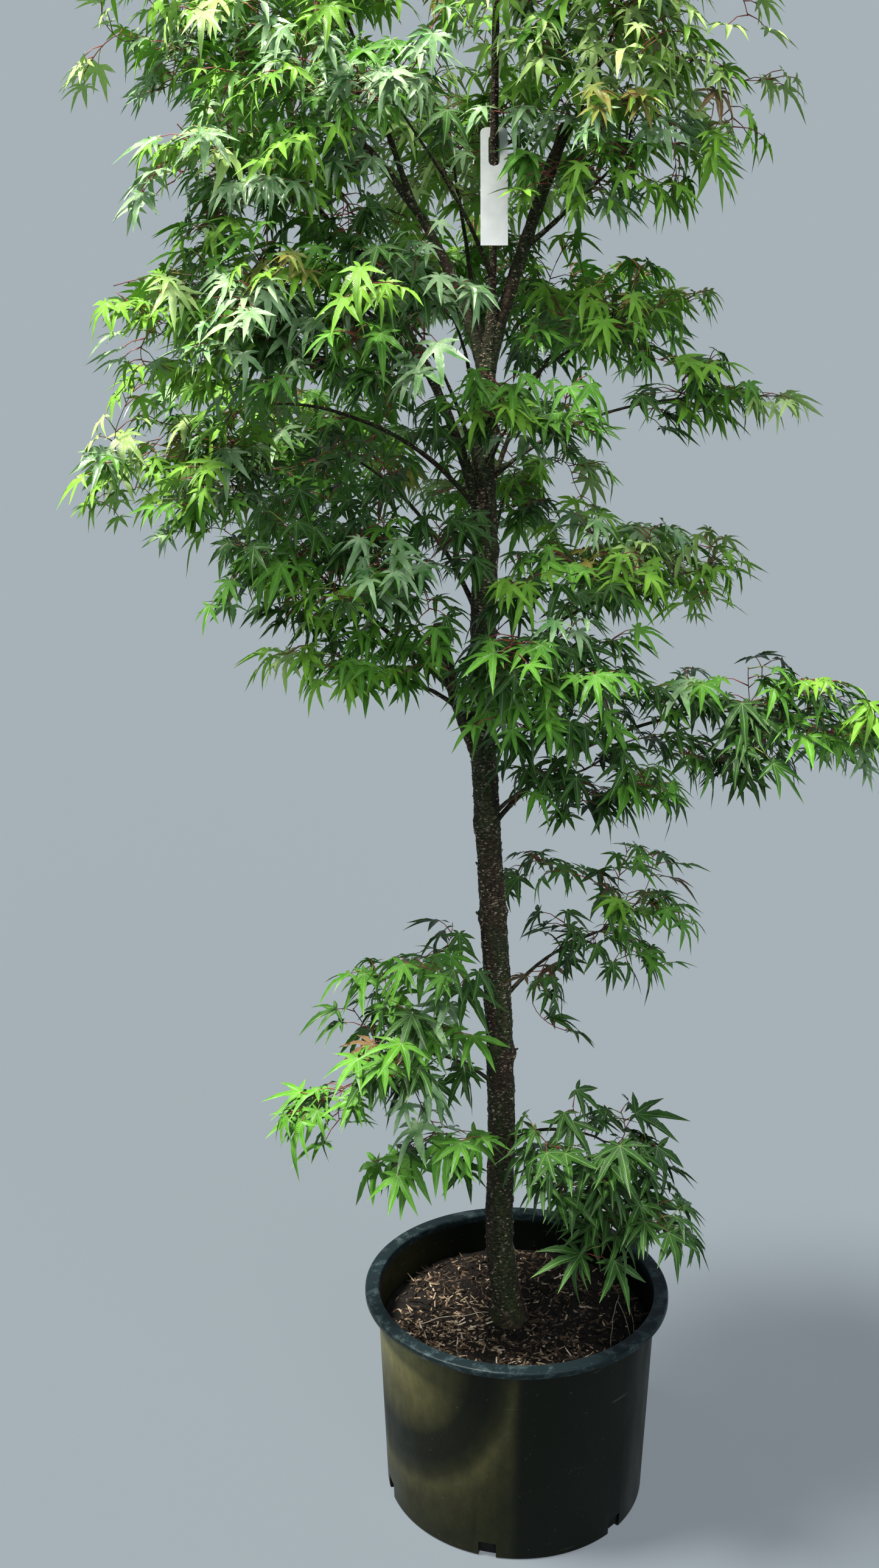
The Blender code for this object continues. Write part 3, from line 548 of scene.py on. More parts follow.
for side in range(SOIL_SIDES):
    after = (side + 1) % SOIL_SIDES
    soil_faces.append((last_ring + side, foot_ring + side, foot_ring + after, last_ring + after))
soil_faces.append(tuple(reversed(range(foot_ring, foot_ring + SOIL_SIDES))))
soil = mesh_object("soil_body", soil_points, soil_faces, soil_finish())
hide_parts("soil")
print("soil:", triangles(soil), "triangles")

# %% [markdown]
# ## Bark chips, slivers and grains
#
# The litter on the soil is thousands of small things that repeat: dark and brown chips, tan and pale
# slivers and a few white grains. Placing them by hand is hopeless, so Geometry Nodes scatter them. The
# tree takes the soil's surface, throws points on it, thins them by a noise so that they lie in drifts,
# and thins them again away from the place where they lie thickest. It puts a flattened cone on each,
# turns it at random and makes it real. It is one tree with named inputs, used five times.

# %% Scatter tree
DRIFT_SCALE = 14.0
DRIFT_FULL = 0.62
THICKEST_WITHIN, THIN_BEYOND = 0.055, 0.150
CHIP_CORNERS = 5
CHIP_ENDS = (0.28, 0.5)
LEAST_CHIP, LARGEST_CHIP = (0.35, 0.55, 0.6), (1.0, 1.2, 1.2)


def scatter_tree():
    tree = bpy.data.node_groups.new("scattered_litter", "GeometryNodeTree")
    sockets = {}
    for name, kind in (
        ("Surface", "NodeSocketGeometry"),
        ("Density", "NodeSocketFloat"),
        ("Drift", "NodeSocketFloat"),
        ("Thickest", "NodeSocketVector"),
        ("Elsewhere", "NodeSocketFloat"),
        ("Seed", "NodeSocketInt"),
        ("Length", "NodeSocketFloat"),
        ("Width", "NodeSocketFloat"),
        ("Thickness", "NodeSocketFloat"),
        ("Tilt", "NodeSocketFloat"),
        ("Finish", "NodeSocketMaterial"),
    ):
        sockets[name] = tree.interface.new_socket(name, in_out="INPUT", socket_type=kind).identifier
    tree.interface.new_socket("Litter", in_out="OUTPUT", socket_type="NodeSocketGeometry")

    def node(kind, feeds, output=0, **settings):
        """Adds a node, feeds its inputs with outputs or values, and gives one of its outputs."""
        made = tree.nodes.new(kind)
        for name, value in settings.items():
            setattr(made, name, value)
        for name, value in feeds.items():
            if isinstance(value, bpy.types.NodeSocket):
                tree.links.new(value, made.inputs[name])
            else:
                made.inputs[name].default_value = value
        return made.outputs[output] if made.outputs else None

    given = tree.nodes.new("NodeGroupInput").outputs
    place = node("GeometryNodeInputPosition", {})
    drift = node("ShaderNodeTexNoise", {"Vector": place, "Scale": DRIFT_SCALE}, "Fac")
    thin = node(
        "ShaderNodeMapRange", {"Value": drift, "From Min": given["Drift"], "From Max": DRIFT_FULL}, "Result",
    )
    away = node("ShaderNodeVectorMath", {0: place, 1: given["Thickest"]}, "Value", operation="DISTANCE")
    spread = {"Value": away, "From Min": THICKEST_WITHIN, "From Max": THIN_BEYOND, "To Min": 1.0}
    spread = node("ShaderNodeMapRange", {**spread, "To Max": given["Elsewhere"]}, "Result")
    gathered = node("ShaderNodeMath", {0: thin, 1: spread}, operation="MULTIPLY")
    count = node("ShaderNodeMath", {0: gathered, 1: given["Density"]}, operation="MULTIPLY")
    thrown = node(
        "GeometryNodeDistributePointsOnFaces",
        {"Mesh": given["Surface"], "Density": count, "Seed": given["Seed"]}, "Points",
    )
    narrow, wide = CHIP_ENDS
    chip = {"Vertices": CHIP_CORNERS, "Side Segments": 2}
    chip.update({"Radius Top": narrow, "Radius Bottom": wide, "Depth": 1.0})
    chip = node("GeometryNodeMeshCone", chip, "Mesh")
    size = node("ShaderNodeCombineXYZ", {"X": given["Thickness"], "Y": given["Width"], "Z": given["Length"]})
    shaped = node("GeometryNodeTransform", {"Geometry": chip, "Scale": size})
    laid = node("GeometryNodeTransform", {"Geometry": shaped, "Rotation": (0, math.radians(90), 0)})
    down = node("ShaderNodeMath", {0: given["Tilt"], 1: -1.0}, operation="MULTIPLY")
    lowest = node("ShaderNodeCombineXYZ", {"X": down, "Y": down})
    highest = node("ShaderNodeCombineXYZ", {"X": given["Tilt"], "Y": given["Tilt"], "Z": math.tau})
    by_seed = {"Seed": given["Seed"]}
    turn = node("FunctionNodeRandomValue", {0: lowest, 1: highest, **by_seed}, data_type="FLOAT_VECTOR")
    sizes = {0: LEAST_CHIP, 1: LARGEST_CHIP, **by_seed}
    grow = node("FunctionNodeRandomValue", sizes, data_type="FLOAT_VECTOR")
    placed = {"Points": thrown, "Instance": laid, "Rotation": turn, "Scale": grow}
    placed = node("GeometryNodeInstanceOnPoints", placed)
    real = node("GeometryNodeRealizeInstances", {"Geometry": placed})
    painted = node("GeometryNodeSetMaterial", {"Geometry": real, "Material": given["Finish"]})
    node("NodeGroupOutput", {0: painted})
    return tree, sockets


scatter, scatter_sockets = scatter_tree()
print("scatter tree:", len(scatter.nodes), "nodes,", len(scatter_sockets), "inputs")

# %% [markdown]
# ## Five kinds of litter
#
# The photograph shows pale slivers in drifts at the front left, brown and nearly black chips
# everywhere, and here and there a white grain of perlite. Each kind is one run of the tree on a copy
# of the soil's surface, and lies thickest at a place of its own. The points keep clear of the pot's
# wall and of the trunk's foot. Each kind's length, width, thickness and two colours stand in its row.

# %% Scatter the litter
TRUNK_FOOT = (-0.010, 0.0)
TRUNK_FOOT_ROOM = 0.024
WALL_ROOM = 0.0085

FRONT_LEFT = (-0.075, -0.100, SOIL_LEVEL)
FRONT = (0.010, -0.125, SOIL_LEVEL)

Litter = namedtuple(
    "Litter", "name density drift thickest elsewhere seed length width thickness tilt dark light",
)
STREAK_DARK = (0.012, 0.008, 0.005)
LITTER = (
    Litter(
        "dark_chips", 30000, 0.20, FRONT, 1.0, 5, 0.016, 0.0052, 0.0024, 0.40,
        (0.0025, 0.0018, 0.0012), (0.017, 0.010, 0.006),
    ),
    Litter(
        "brown_chips", 30000, 0.26, FRONT, 0.75, 9, 0.014, 0.0046, 0.0022, 0.50,
        (0.018, 0.012, 0.007), (0.130, 0.085, 0.050),
    ),
    Litter(
        "tan_slivers", 30000, 0.32, FRONT_LEFT, 0.20, 3, 0.015, 0.0040, 0.0018, 0.45,
        (0.110, 0.072, 0.040), (0.560, 0.420, 0.270),
    ),
    Litter(
        "pale_slivers", 8000, 0.38, FRONT_LEFT, 0.18, 21, 0.014, 0.0040, 0.0016, 0.50,
        (0.380, 0.290, 0.200), (0.760, 0.640, 0.500),
    ),
    Litter(
        "perlite_grains", 150, 0.30, FRONT, 1.0, 12, 0.0055, 0.0045, 0.0038, 1.20,
        (0.40, 0.39, 0.35), (0.62, 0.61, 0.58),
    ),
)


def litter_finish(kind):
    made = Finish(kind.name, roughness=0.85, specular=0.25)
    tone = made.noise(75, 2, rough=0.6, seed=kind.seed)
    streak = made.noise(500, 3, rough=0.6)
    colour = made.ramp(tone, (0.34, kind.dark), (0.66, kind.light))
    made.colour(made.mix(made.ramp(streak, (0.35, 0.35), (0.6, 0.0)), colour, STREAK_DARK))
    made.bump(streak, 0.0006, 0.7)
    return made


keep_off = []
for face in soil_cover.data.polygons:
    x, y, _ = face.center
    far = math.hypot(x, y) > soil_edge - WALL_ROOM
    near = math.hypot(x - TRUNK_FOOT[0], y - TRUNK_FOOT[1]) < TRUNK_FOOT_ROOM
    keep_off.append(far or near)
open_faces = [tuple(face.vertices) for face, off in zip(soil_cover.data.polygons, keep_off) if not off]
litter_pieces = []
for kind in LITTER:
    piece = mesh_object(kind.name, [point.co for point in soil_cover.data.vertices], open_faces)
    layer = piece.modifiers.new("scatter", "NODES")
    layer.node_group = scatter
    values = {
        "Density": float(kind.density),
        "Drift": kind.drift,
        "Thickest": kind.thickest,
        "Elsewhere": kind.elsewhere,
        "Seed": kind.seed,
        "Length": kind.length,
        "Width": kind.width,
        "Thickness": kind.thickness,
        "Tilt": kind.tilt,
        "Finish": litter_finish(kind).material,
    }
    for name, value in values.items():
        layer[scatter_sockets[name]] = value
    settle(piece)
    litter_pieces.append(piece)
    print(f"{kind.name}: {triangles(piece)} triangles")
bpy.data.objects.remove(soil_cover, do_unlink=True)

# %% [markdown]
# ## Limbs
#
# The tree grows by the same rule as the packed solids, written again here. The trunk is a list of
# stations with a height, a lean and a width. A bough leaves the trunk or another bough at a given
# place, and its rise turns evenly from its foot to its tip. The solids use a few straight steps.
# Here the same curves are walked in steps of a few millimetres, so that the bark bends smoothly.

# %% Trunk and bough tables
Station = namedtuple("Station", "height lean width")
TRUNK = (
    Station(SOIL_LEVEL, -0.010, 0.044),
    Station(0.236, -0.010, 0.038),
    Station(0.290, -0.018, 0.0345),
    Station(0.480, -0.020, 0.0325),
    Station(0.640, -0.026, 0.0315),
    Station(0.815, -0.037, 0.0290),
    Station(0.950, -0.045, 0.0285),
    Station(1.175, -0.045, 0.0275),
    Station(1.290, -0.0465, 0.0225),
    Station(1.345, -0.044, 0.0190),
    Station(1.395, -0.040, 0.0110),
    Station(1.550, -0.038, 0.0088),
    Station(1.700, -0.037, 0.0070),
    Station(1.850, -0.033, 0.0052),
)
Bough = namedtuple("Bough", "name parent where turn rise_foot rise_tip length foot_width tip_width")
BOUGHS = (
    Bough("right_leader", "trunk", 1.345, 16, 74, 68, 0.262, 0.0145, 0.0125),
    Bough("left_leader", "trunk", 1.335, 156, 76, 38, 0.335, 0.0130, 0.0065),
    Bough("back_leader", "trunk", 1.350, 107, 58, 64, 0.235, 0.0075, 0.0046),
    Bough("right_top", "right_leader", 0.85, -61, 41, 50, 0.155, 0.0060, 0.0040),
    Bough("right_upper", "right_leader", 0.50, -26, 35, 40, 0.125, 0.0060, 0.0042),
    Bough("left_top", "left_leader", 0.60, 133, 63, 61, 0.270, 0.0070, 0.0045),
    Bough("left_upper", "trunk", 1.170, -151, 77, 41, 0.403, 0.0125, 0.0055),
    Bough("left_mid", "left_upper", 0.42, -141, 52, 4, 0.240, 0.0058, 0.0042),
    Bough("left_outer", "trunk", 1.190, 166, 55, -7, 0.312, 0.0062, 0.0042),
    Bough("low_stub", "trunk", 0.920, -165, 61, 83, 0.169, 0.0170, 0.0150),
    Bough("left_lower", "low_stub", 0.55, -160, 42, 40, 0.205, 0.0072, 0.0044),
    Bough("left_low", "low_stub", 0.40, -150, 42, 8, 0.120, 0.0054, 0.0042),
    Bough("right_mid", "trunk", 1.285, 18, 54, 22, 0.150, 0.0056, 0.0042),
    Bough("right_small", "trunk", 1.225, -12, 44, 8, 0.205, 0.0050, 0.0040),
    Bough("right_broad", "trunk", 0.970, 23, 66, 12, 0.215, 0.0064, 0.0044),
    Bough("right_long", "trunk", 0.840, -12, 56, 6, 0.300, 0.0064, 0.0044),
    Bough("right_inner", "trunk", 0.850, -44, 52, 14, 0.145, 0.0052, 0.0040),
    Bough("right_low", "trunk", 0.625, 16, 54, 14, 0.145, 0.0056, 0.0042),
    Bough("right_foot", "trunk", 0.445, -40, 46, 0, 0.150, 0.0054, 0.0042),
    Bough("left_foot", "trunk", 0.520, -154, 52, 20, 0.110, 0.0056, 0.0042),
    Bough("front_upper", "trunk", 1.215, -118, 62, 40, 0.190, 0.0056, 0.0042),
    Bough("front_top", "trunk", 1.440, -135, 58, 38, 0.200, 0.0050, 0.0040),
    Bough("front_right", "trunk", 0.975, -72, 54, 18, 0.160, 0.0056, 0.0042),
    Bough("front_mid", "trunk", 1.230, -68, 56, 22, 0.115, 0.0050, 0.0040),
    Bough("back_upper", "trunk", 1.245, 98, 56, 20, 0.260, 0.0064, 0.0042),
    Bough("back_right", "trunk", 1.195, 58, 64, 30, 0.260, 0.0064, 0.0042),
    Bough("back_left", "trunk", 1.070, 132, 60, 18, 0.290, 0.0066, 0.0042),
    Bough("back_low", "trunk", 1.075, 80, 58, 18, 0.220, 0.0060, 0.0042),
)
SAWN = ("right_leader", "low_stub")

# %% [markdown]
# ## The middle lines
#
# A limb is its middle line and its width along it. Between two stations of the trunk an eased
# curve is used in place of a straight line, so that no corner shows. A little waviness is added to
# the boughs: wood that grew in seasons is never a perfect arc. Thin boughs taper more than the
# solids do, because the wood that the photograph shows between the leaves is thin.

# %% Limb paths
Limb = namedtuple("Limb", "path widths")
TRUNK_STEP = 0.0026
BOUGH_STEP = 0.0026
WAVE = 0.0016
WAVE_LENGTH = 0.055
SLIM_BELOW = 0.008
SLIM_TIP = 0.62


def between(values, places, at):
    """A smooth curve through the values at their places, with level ends."""
    index = int(np.clip(np.searchsorted(places, at) - 1, 0, len(places) - 2))
    share = (at - places[index]) / (places[index + 1] - places[index])
    slopes = np.gradient(values, places)
    gap = places[index + 1] - places[index]
    low, high = values[index], values[index + 1]
    rise, fall = slopes[index] * gap, slopes[index + 1] * gap
    square, cube = share * share, share ** 3
    return (
        low * (2 * cube - 3 * square + 1)
        + rise * (cube - 2 * square + share)
        + high * (3 * square - 2 * cube)
        + fall * (cube - square)
    )


def heading(turn, rise):
    """The direction with this compass turn and rise, both in degrees."""
    flat = math.cos(math.radians(rise))
    across = math.radians(turn)
    return Vector((flat * math.cos(across), flat * math.sin(across), math.sin(math.radians(rise))))


def trunk_limb():
    heights = np.array([station.height for station in TRUNK])
    leans = np.array([station.lean for station in TRUNK])
    spans = np.array([station.width for station in TRUNK])
    steps = round((heights[-1] - heights[0]) / TRUNK_STEP)
    levels = np.linspace(heights[0], heights[-1], steps + 1)
    path = [Vector((between(leans, heights, level), 0, level)) for level in levels]
    return Limb(path, [between(spans, heights, level) for level in levels])


def bough_limb(bough, foot):
    steps = round(bough.length / BOUGH_STEP)
    path = [foot.copy()]
    for step in range(steps):
        share = (step + 0.5) / steps
        rise = bough.rise_foot + (bough.rise_tip - bough.rise_foot) * share
        path.append(path[-1] + heading(bough.turn, rise) * bough.length / steps)
    for step, point in enumerate(path):
        fade = math.sin(math.pi * step / steps)
        sway = noise.noise_vector(point / WAVE_LENGTH) * WAVE * fade
        path[step] = point + sway
    slim = 1.0 if bough.foot_width > SLIM_BELOW else SLIM_TIP
    tip = bough.tip_width * slim
    widths = [bough.foot_width + (tip - bough.foot_width) * step / steps for step in range(steps + 1)]
    return Limb(path, widths)


limbs = {"trunk": trunk_limb()}
for bough in BOUGHS:
    parent = limbs[bough.parent].path
    if bough.parent == "trunk":
        start = min(parent, key=lambda point: abs(point.z - bough.where))
    else:
        start = parent[round(bough.where * (len(parent) - 1))]
    limbs[bough.name] = bough_limb(bough, start)
limb_run = sum(len(limb.path) for limb in limbs.values()) * BOUGH_STEP
print("limbs:", len(limbs), "together", round(limb_run, 1), "m")

# %% [markdown]
# ## Bark with real relief
#
# This maple is grown for its bark. Even on a young trunk it is lumpy, with old knots that bulge out
# round a dimple. A bump map alone would leave the outline smooth, so the lumps are in the mesh: the
# tube has a ring every few millimetres, and each point is pushed out by two noises, a wide one and
# a narrow one. Thin boughs get less of it than the trunk, and the trunk flares to its roots.

# %% Bark relief
WIDE_LUMPS, WIDE_OUT = 0.017, 0.0012
NARROW_LUMPS, NARROW_OUT = 0.0055, 0.0011
ROUGH_WIDTH = 0.020
COLLAR_LENGTH = 0.016
COLLAR_SHARE = 0.45
ROOT_FLARE = 0.0075
FLARE_HEIGHT = 0.016
TIP_POINT = 0.3
KNOT_SPREAD = 0.015
DIMPLE_SHARE = 0.45
DIMPLE_FINENESS = 9

Knot = namedtuple("Knot", "height turn size height_out")
KNOTS = (
    Knot(0.738, 195, 0.0085, 0.0042),
    Knot(0.742, -20, 0.0070, 0.0034),
    Knot(0.567, -12, 0.0080, 0.0040),
    Knot(0.851, 200, 0.0080, 0.0036),
    Knot(1.159, -35, 0.0090, 0.0040),
    Knot(0.402, -110, 0.0075, 0.0024),
    Knot(0.655, 80, 0.0080, 0.0036),
    Knot(0.936, 120, 0.0075, 0.0034),
    Knot(0.336, 40, 0.0070, 0.0026),
)


def knot_bulge(point, across):
    """The bulge of the old knots at a point of the trunk, with its dimple."""
    total = 0.0
    for knot in KNOTS:
        if abs(point.z - knot.height) > 3 * knot.size:
            continue
        side = Vector((math.cos(math.radians(knot.turn)), math.sin(math.radians(knot.turn)), 0))
        if across.dot(side) < 0:
            continue
        aside = (across - side * across.dot(side)).length * KNOT_SPREAD
        away = math.hypot(aside, point.z - knot.height) / knot.size
        dimple = DIMPLE_SHARE * math.exp(-DIMPLE_FINENESS * away * away)
        total += knot.height_out * (math.exp(-away * away) - dimple)
    return total


def bark_tube(limb, sides, knots=False, foot_collar=0.0, sawn=False):
    """Points and faces of a limb's bark, closed at both ends. The points run in rings."""
    points = []
    for (centre, side, other), width in zip(frames_along(limb.path), limb.widths):
        radius = width / 2
        flare = 1 + foot_collar * math.exp(-(centre - limb.path[0]).length / COLLAR_LENGTH)
        rough = min(1.0, 2 * radius / ROUGH_WIDTH)
        for corner in range(sides):
            turn = math.tau * corner / sides
            across = side * math.cos(turn) + other * math.sin(turn)
            base = centre + across * radius * flare
            lift = noise.noise(base / WIDE_LUMPS) * WIDE_OUT + noise.noise(base / NARROW_LUMPS) * NARROW_OUT
            lift *= rough
            if knots:
                root = 0.75 + 0.9 * noise.noise(across * 1.6 + Vector((3, 1, 0)))
                lift += knot_bulge(centre, across)
                lift += root * ROOT_FLARE * math.exp(-(centre.z - SOIL_LEVEL) / FLARE_HEIGHT)
            points.append(base + across * lift)
    faces = tube_faces(len(limb.path), sides)
    last = (len(limb.path) - 1) * sides
    if sawn:
        faces.append(tuple(last + corner for corner in range(sides)))
    else:
        ahead = (limb.path[-1] - limb.path[-2]).normalized()
        points.append(limb.path[-1] + ahead * limb.widths[-1] * TIP_POINT)
        faces += [(last + corner, last + (corner + 1) % sides, len(points) - 1) for corner in range(sides)]
    return points, faces


print("old knots:", len(KNOTS))

# %% [markdown]
# ## Bark finish
#
# The skin is a dark brown with mossy green patches that run along the trunk, crossed by fine dark
# cracks and flecked with pale cork. The sawn ends show aged wood, so they get a finish of their own.

# %% Bark finishes
BARK_PATCHES = (
    (0.32, (0.009, 0.006, 0.0035)),
    (0.44, (0.040, 0.023, 0.011)),
    (0.54, (0.022, 0.030, 0.009)),
    (0.63, (0.036, 0.050, 0.014)),
    (0.72, (0.052, 0.031, 0.015)),
)
CRACK_DARK = (0.005, 0.004, 0.003)
FLECK_PALE = (0.190, 0.145, 0.098)
SAWN_WOOD = ((0.3, (0.045, 0.028, 0.016)), (0.7, (0.160, 0.110, 0.065)))


def bark_finish():
    made = Finish("rough_bark", roughness=0.85, specular=0.3)
    patch = made.noise(38, 4, (1, 1, 0.40), 0.6, seed=4)
    skin = made.ramp(patch, *BARK_PATCHES)
    crack = made.noise(300, 4, (0.7, 0.7, 1.5), 0.65)
    skin = made.mix(made.ramp(crack, (0.40, 0.85), (0.50, 0.0)), skin, CRACK_DARK)
    made.colour(made.mix(made.ramp(crack, (0.57, 0.0), (0.68, 0.85)), skin, FLECK_PALE))
    made.bump(made.sum(crack, made.noise(1500, 2), "ADD"), 0.0012, 0.9)
    return made


def sawn_finish():
    made = Finish("sawn_wood", roughness=0.8, specular=0.3)
    made.colour(made.ramp(made.noise(420, 4), *SAWN_WOOD))
    made.bump(made.noise(900, 3), 0.0005, 0.8)
    return made


bark = bark_finish()
print("bark:", len(bark.tree.nodes), "nodes")

# %% [markdown]
# ## Trunk and boughs in bark
#
# The trunk is seen close, so its tube has 40 sides. Stout boughs have 20 and thin ones 10, which is
# enough at their width. One mesh for the trunk and one for all boughs keep the list of pieces short.
# The sawn ends are the only faces with 20 corners, and are found by that to get their own finish.

# %% Trunk and boughs
TRUNK_SIDES = 40
STOUT_SIDES = 20
THIN_SIDES = 10
STOUT_WIDTH = 0.012


def bark_piece(name, parts, finishes):
    """Joins several bark tubes in one mesh."""
    made = mesh_object(name, *join_parts(parts), *finishes)
    print(f"{name}: {triangles(made)} triangles")
    return made


tubes = {"trunk": bark_tube(limbs["trunk"], TRUNK_SIDES, knots=True)}
tube_sides = {"trunk": TRUNK_SIDES}
for bough in BOUGHS:
    sides = STOUT_SIDES if bough.foot_width > STOUT_WIDTH else THIN_SIDES
    tube_sides[bough.name] = sides
    tubes[bough.name] = bark_tube(limbs[bough.name], sides, False, COLLAR_SHARE, bough.name in SAWN)
trunk = bark_piece("trunk_bark", [tubes["trunk"]], [bark])
boughs = bark_piece("bough_bark", [tubes[bough.name] for bough in BOUGHS], [bark, sawn_finish()])
for face in boughs.data.polygons:
    if len(face.vertices) == STOUT_SIDES:
        face.material_index = 1
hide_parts("trunk")
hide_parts(*[f"bough_{bough.name}" for bough in BOUGHS])

# %% [markdown]
# ## Cork warts
#
# The name of this maple means rough. Small warts of pale cork, wider than they are tall, sit on the
# dark skin in rows that run along the trunk, and here and there they crowd into a crust. They are
# far finer than the rings of the bark mesh. So each one is a small lens of its own with 11 points,
# sunk a little into the skin, and all of them are placed at once with arrays. A place on the bark is
# found between the four nearest points of the tube, and two of its edges give the directions across,
# along and outwards. First the rows are walked, and a noise thins the warts out in patches.

# %% Rows of warts
ROW_GAP = 0.0064
ROW_JITTER = 0.30
WART_GAP = (0.0028, 0.0090)
WART_HALF = (0.0006, 0.0029)
COMMON_WART = 0.0008
PATCH_ROUND, PATCH_APART, PATCH_LENGTH = 9, 1.7, 0.03
KEPT, KEPT_IN_PATCH = 0.62, 1.4
CRUST_FROM = 0.22


def wart_rows(limb, sides, rng):
    """Ring, corner and size of each wart, in rows along the limb that thin out in patches."""
    found = []
    rows = max(2, round(math.pi * max(limb.widths[5:]) / ROW_GAP))
    step = (limb.path[1] - limb.path[0]).length
    for row in range(rows):
        ring = 2.0
        while ring < len(limb.path) - 3:
            ring += rng.uniform(*WART_GAP) / step
            corner = (row + rng.gauss(0, ROW_JITTER)) * sides / rows % sides
            at = min(int(ring), len(limb.path) - 1)
            spot = (corner / sides * PATCH_ROUND, row * PATCH_APART, limb.path[at].z / PATCH_LENGTH)
            patch = noise.noise(Vector(spot))
            if rng.random() > KEPT + KEPT_IN_PATCH * patch:
                continue
            slim = 0.45 + 0.55 * min(1.0, limb.widths[at] / ROUGH_WIDTH)
            size = rng.triangular(*WART_HALF, COMMON_WART) * slim
            found.append((ring, corner, size))
            if patch > CRUST_FROM:
                for _ in range(2):
                    aside = (ring + rng.uniform(-1.2, 1.2), corner + rng.uniform(-0.7, 0.7))
                    found.append((*aside, size * 0.9))
    return np.array(found)


print("gap between rows:", ROW_GAP * 1000, "mm")

# %% [markdown]
# ## The lens of a wart
#
# A wart's lens has two rings of five points and one on top. Each wart stretches it by its own size
# and by an uneven share for each point, so that no two are alike. Thousands of objects made one by
# one would take minutes. Arrays move all the points in a moment, and one mesh holds them.

# %% Cork warts
WART_TALL_SHARE = 0.52
WART_OUT = 0.0015
WART_UNEVEN = 0.42
CORK_PALE = ((0.060, 0.042, 0.027), (0.460, 0.365, 0.270))
LENS_SIDES = 5
lens_turns = np.arange(LENS_SIDES) * math.tau / LENS_SIDES
lens_ring = np.stack([np.cos(lens_turns), np.sin(lens_turns), np.zeros(LENS_SIDES)], axis=1)
LENS = np.concatenate([lens_ring + (0, 0, -0.5), lens_ring * 0.66 + (0, 0, 0.7), [(0, 0, 1.0)]])
LENS_FACES = []
for corner in range(LENS_SIDES):
    after = (corner + 1) % LENS_SIDES
    LENS_FACES.append((corner, after, after + LENS_SIDES, corner + LENS_SIDES))
    LENS_FACES.append((corner + LENS_SIDES, after + LENS_SIDES, 2 * LENS_SIDES))


def unit(vectors):
    return vectors / np.linalg.norm(vectors, axis=1, keepdims=True)


def wart_mesh(limb, tube, sides, rng):
    """The points of all warts of a limb."""
    rings = len(limb.path)
    grid = np.array([tuple(point) for point in tube[0][: rings * sides]]).reshape(rings, sides, 3)
    ring, corner, size = wart_rows(limb, sides, rng).T
    ring = np.clip(ring, 0, rings - 2.01)
    corner = corner % sides
    low, left = ring.astype(int), corner.astype(int) % sides
    right = (left + 1) % sides
    up, over = (ring - low)[:, None], (corner - corner.astype(int))[:, None]
    place = (grid[low, left] * (1 - over) + grid[low, right] * over) * (1 - up)
    place += (grid[low + 1, left] * (1 - over) + grid[low + 1, right] * over) * up
    across = unit(grid[low, right] - grid[low, left])
    along = unit(grid[low + 1, left] - grid[low, left])
    out = unit(np.cross(across, along))
    uneven = 1 + WART_UNEVEN * np.random.default_rng(5).standard_normal((len(size), len(LENS)))
    flat = size[:, None] * np.clip(uneven, 0.55, 1.5)
    return (
        place[:, None]
        + across[:, None] * (LENS[:, 0] * flat)[..., None]
        + along[:, None] * (LENS[:, 1] * flat * WART_TALL_SHARE)[..., None]
        + out[:, None] * (LENS[:, 2] * size[:, None] / WART_HALF[1] * WART_OUT)[..., None]
    ).reshape(-1, 3)


def cork_finish():
    made = Finish("cork", roughness=0.9, specular=0.25)
    tone = made.noise(330, 3, rough=0.6, seed=7)
    made.colour(made.ramp(tone, (0.36, CORK_PALE[0]), (0.66, CORK_PALE[1])))
    made.bump(made.noise(1300, 3), 0.0004, 0.8)
    return made


wart_rng = random.Random(12)
wart_meshes = [wart_mesh(limbs[name], tubes[name], tube_sides[name], wart_rng) for name in tubes]
wart_points = np.concatenate(wart_meshes)
wart_count = len(wart_points) // len(LENS)
shifts = range(0, len(wart_points), len(LENS))
wart_faces = [tuple(corner + shift for corner in face) for shift in shifts for face in LENS_FACES]
wart_piece = mesh_object("cork_warts", wart_points, wart_faces, cork_finish())
print("warts:", wart_count, "with", triangles(wart_piece), "triangles")

# %% [markdown]
# ## The blank label
#
# A white plastic tag hangs on the leader: the stem passes through its slot, in front of the tag's
# top and behind its body. The outline is drawn once, with round corners and a round-ended slot,
# filled between the two, and given its thickness by a Solidify modifier. It carries no print.

# %% Label
LABEL_WIDTH = 0.028
LABEL_LENGTH = 0.125
LABEL_THICKNESS = 0.0009
LABEL_SLOT_WIDTH = 0.0115
LABEL_SLOT_LENGTH = 0.034
LABEL_SLOT_FROM_TOP = 0.008
LABEL_TILT = 18.0
LABEL_SLOT_FOOT = 1.548
LABEL_CORNER = 0.006
LABEL_BOW = 0.0016


def label_finish():
    made = Finish("label_plastic", roughness=0.42)
    tint = made.noise(55, 3)
    made.colour(made.ramp(tint, (0.35, (0.50, 0.53, 0.54)), (0.65, (0.60, 0.62, 0.62))))
    made.bump(made.noise(900, 2), 0.0002, 0.25)
    return made


def half_outline(depth, half, top, foot, corner):
    """Half the width of a round-cornered shape at a depth below its top."""
    inset = 0.0
    for edge in (top, foot):
        near = corner - abs(depth - edge)
        if near > 0:
            inset = corner - math.sqrt(max(0.0, corner * corner - near * near))
    return half - inset


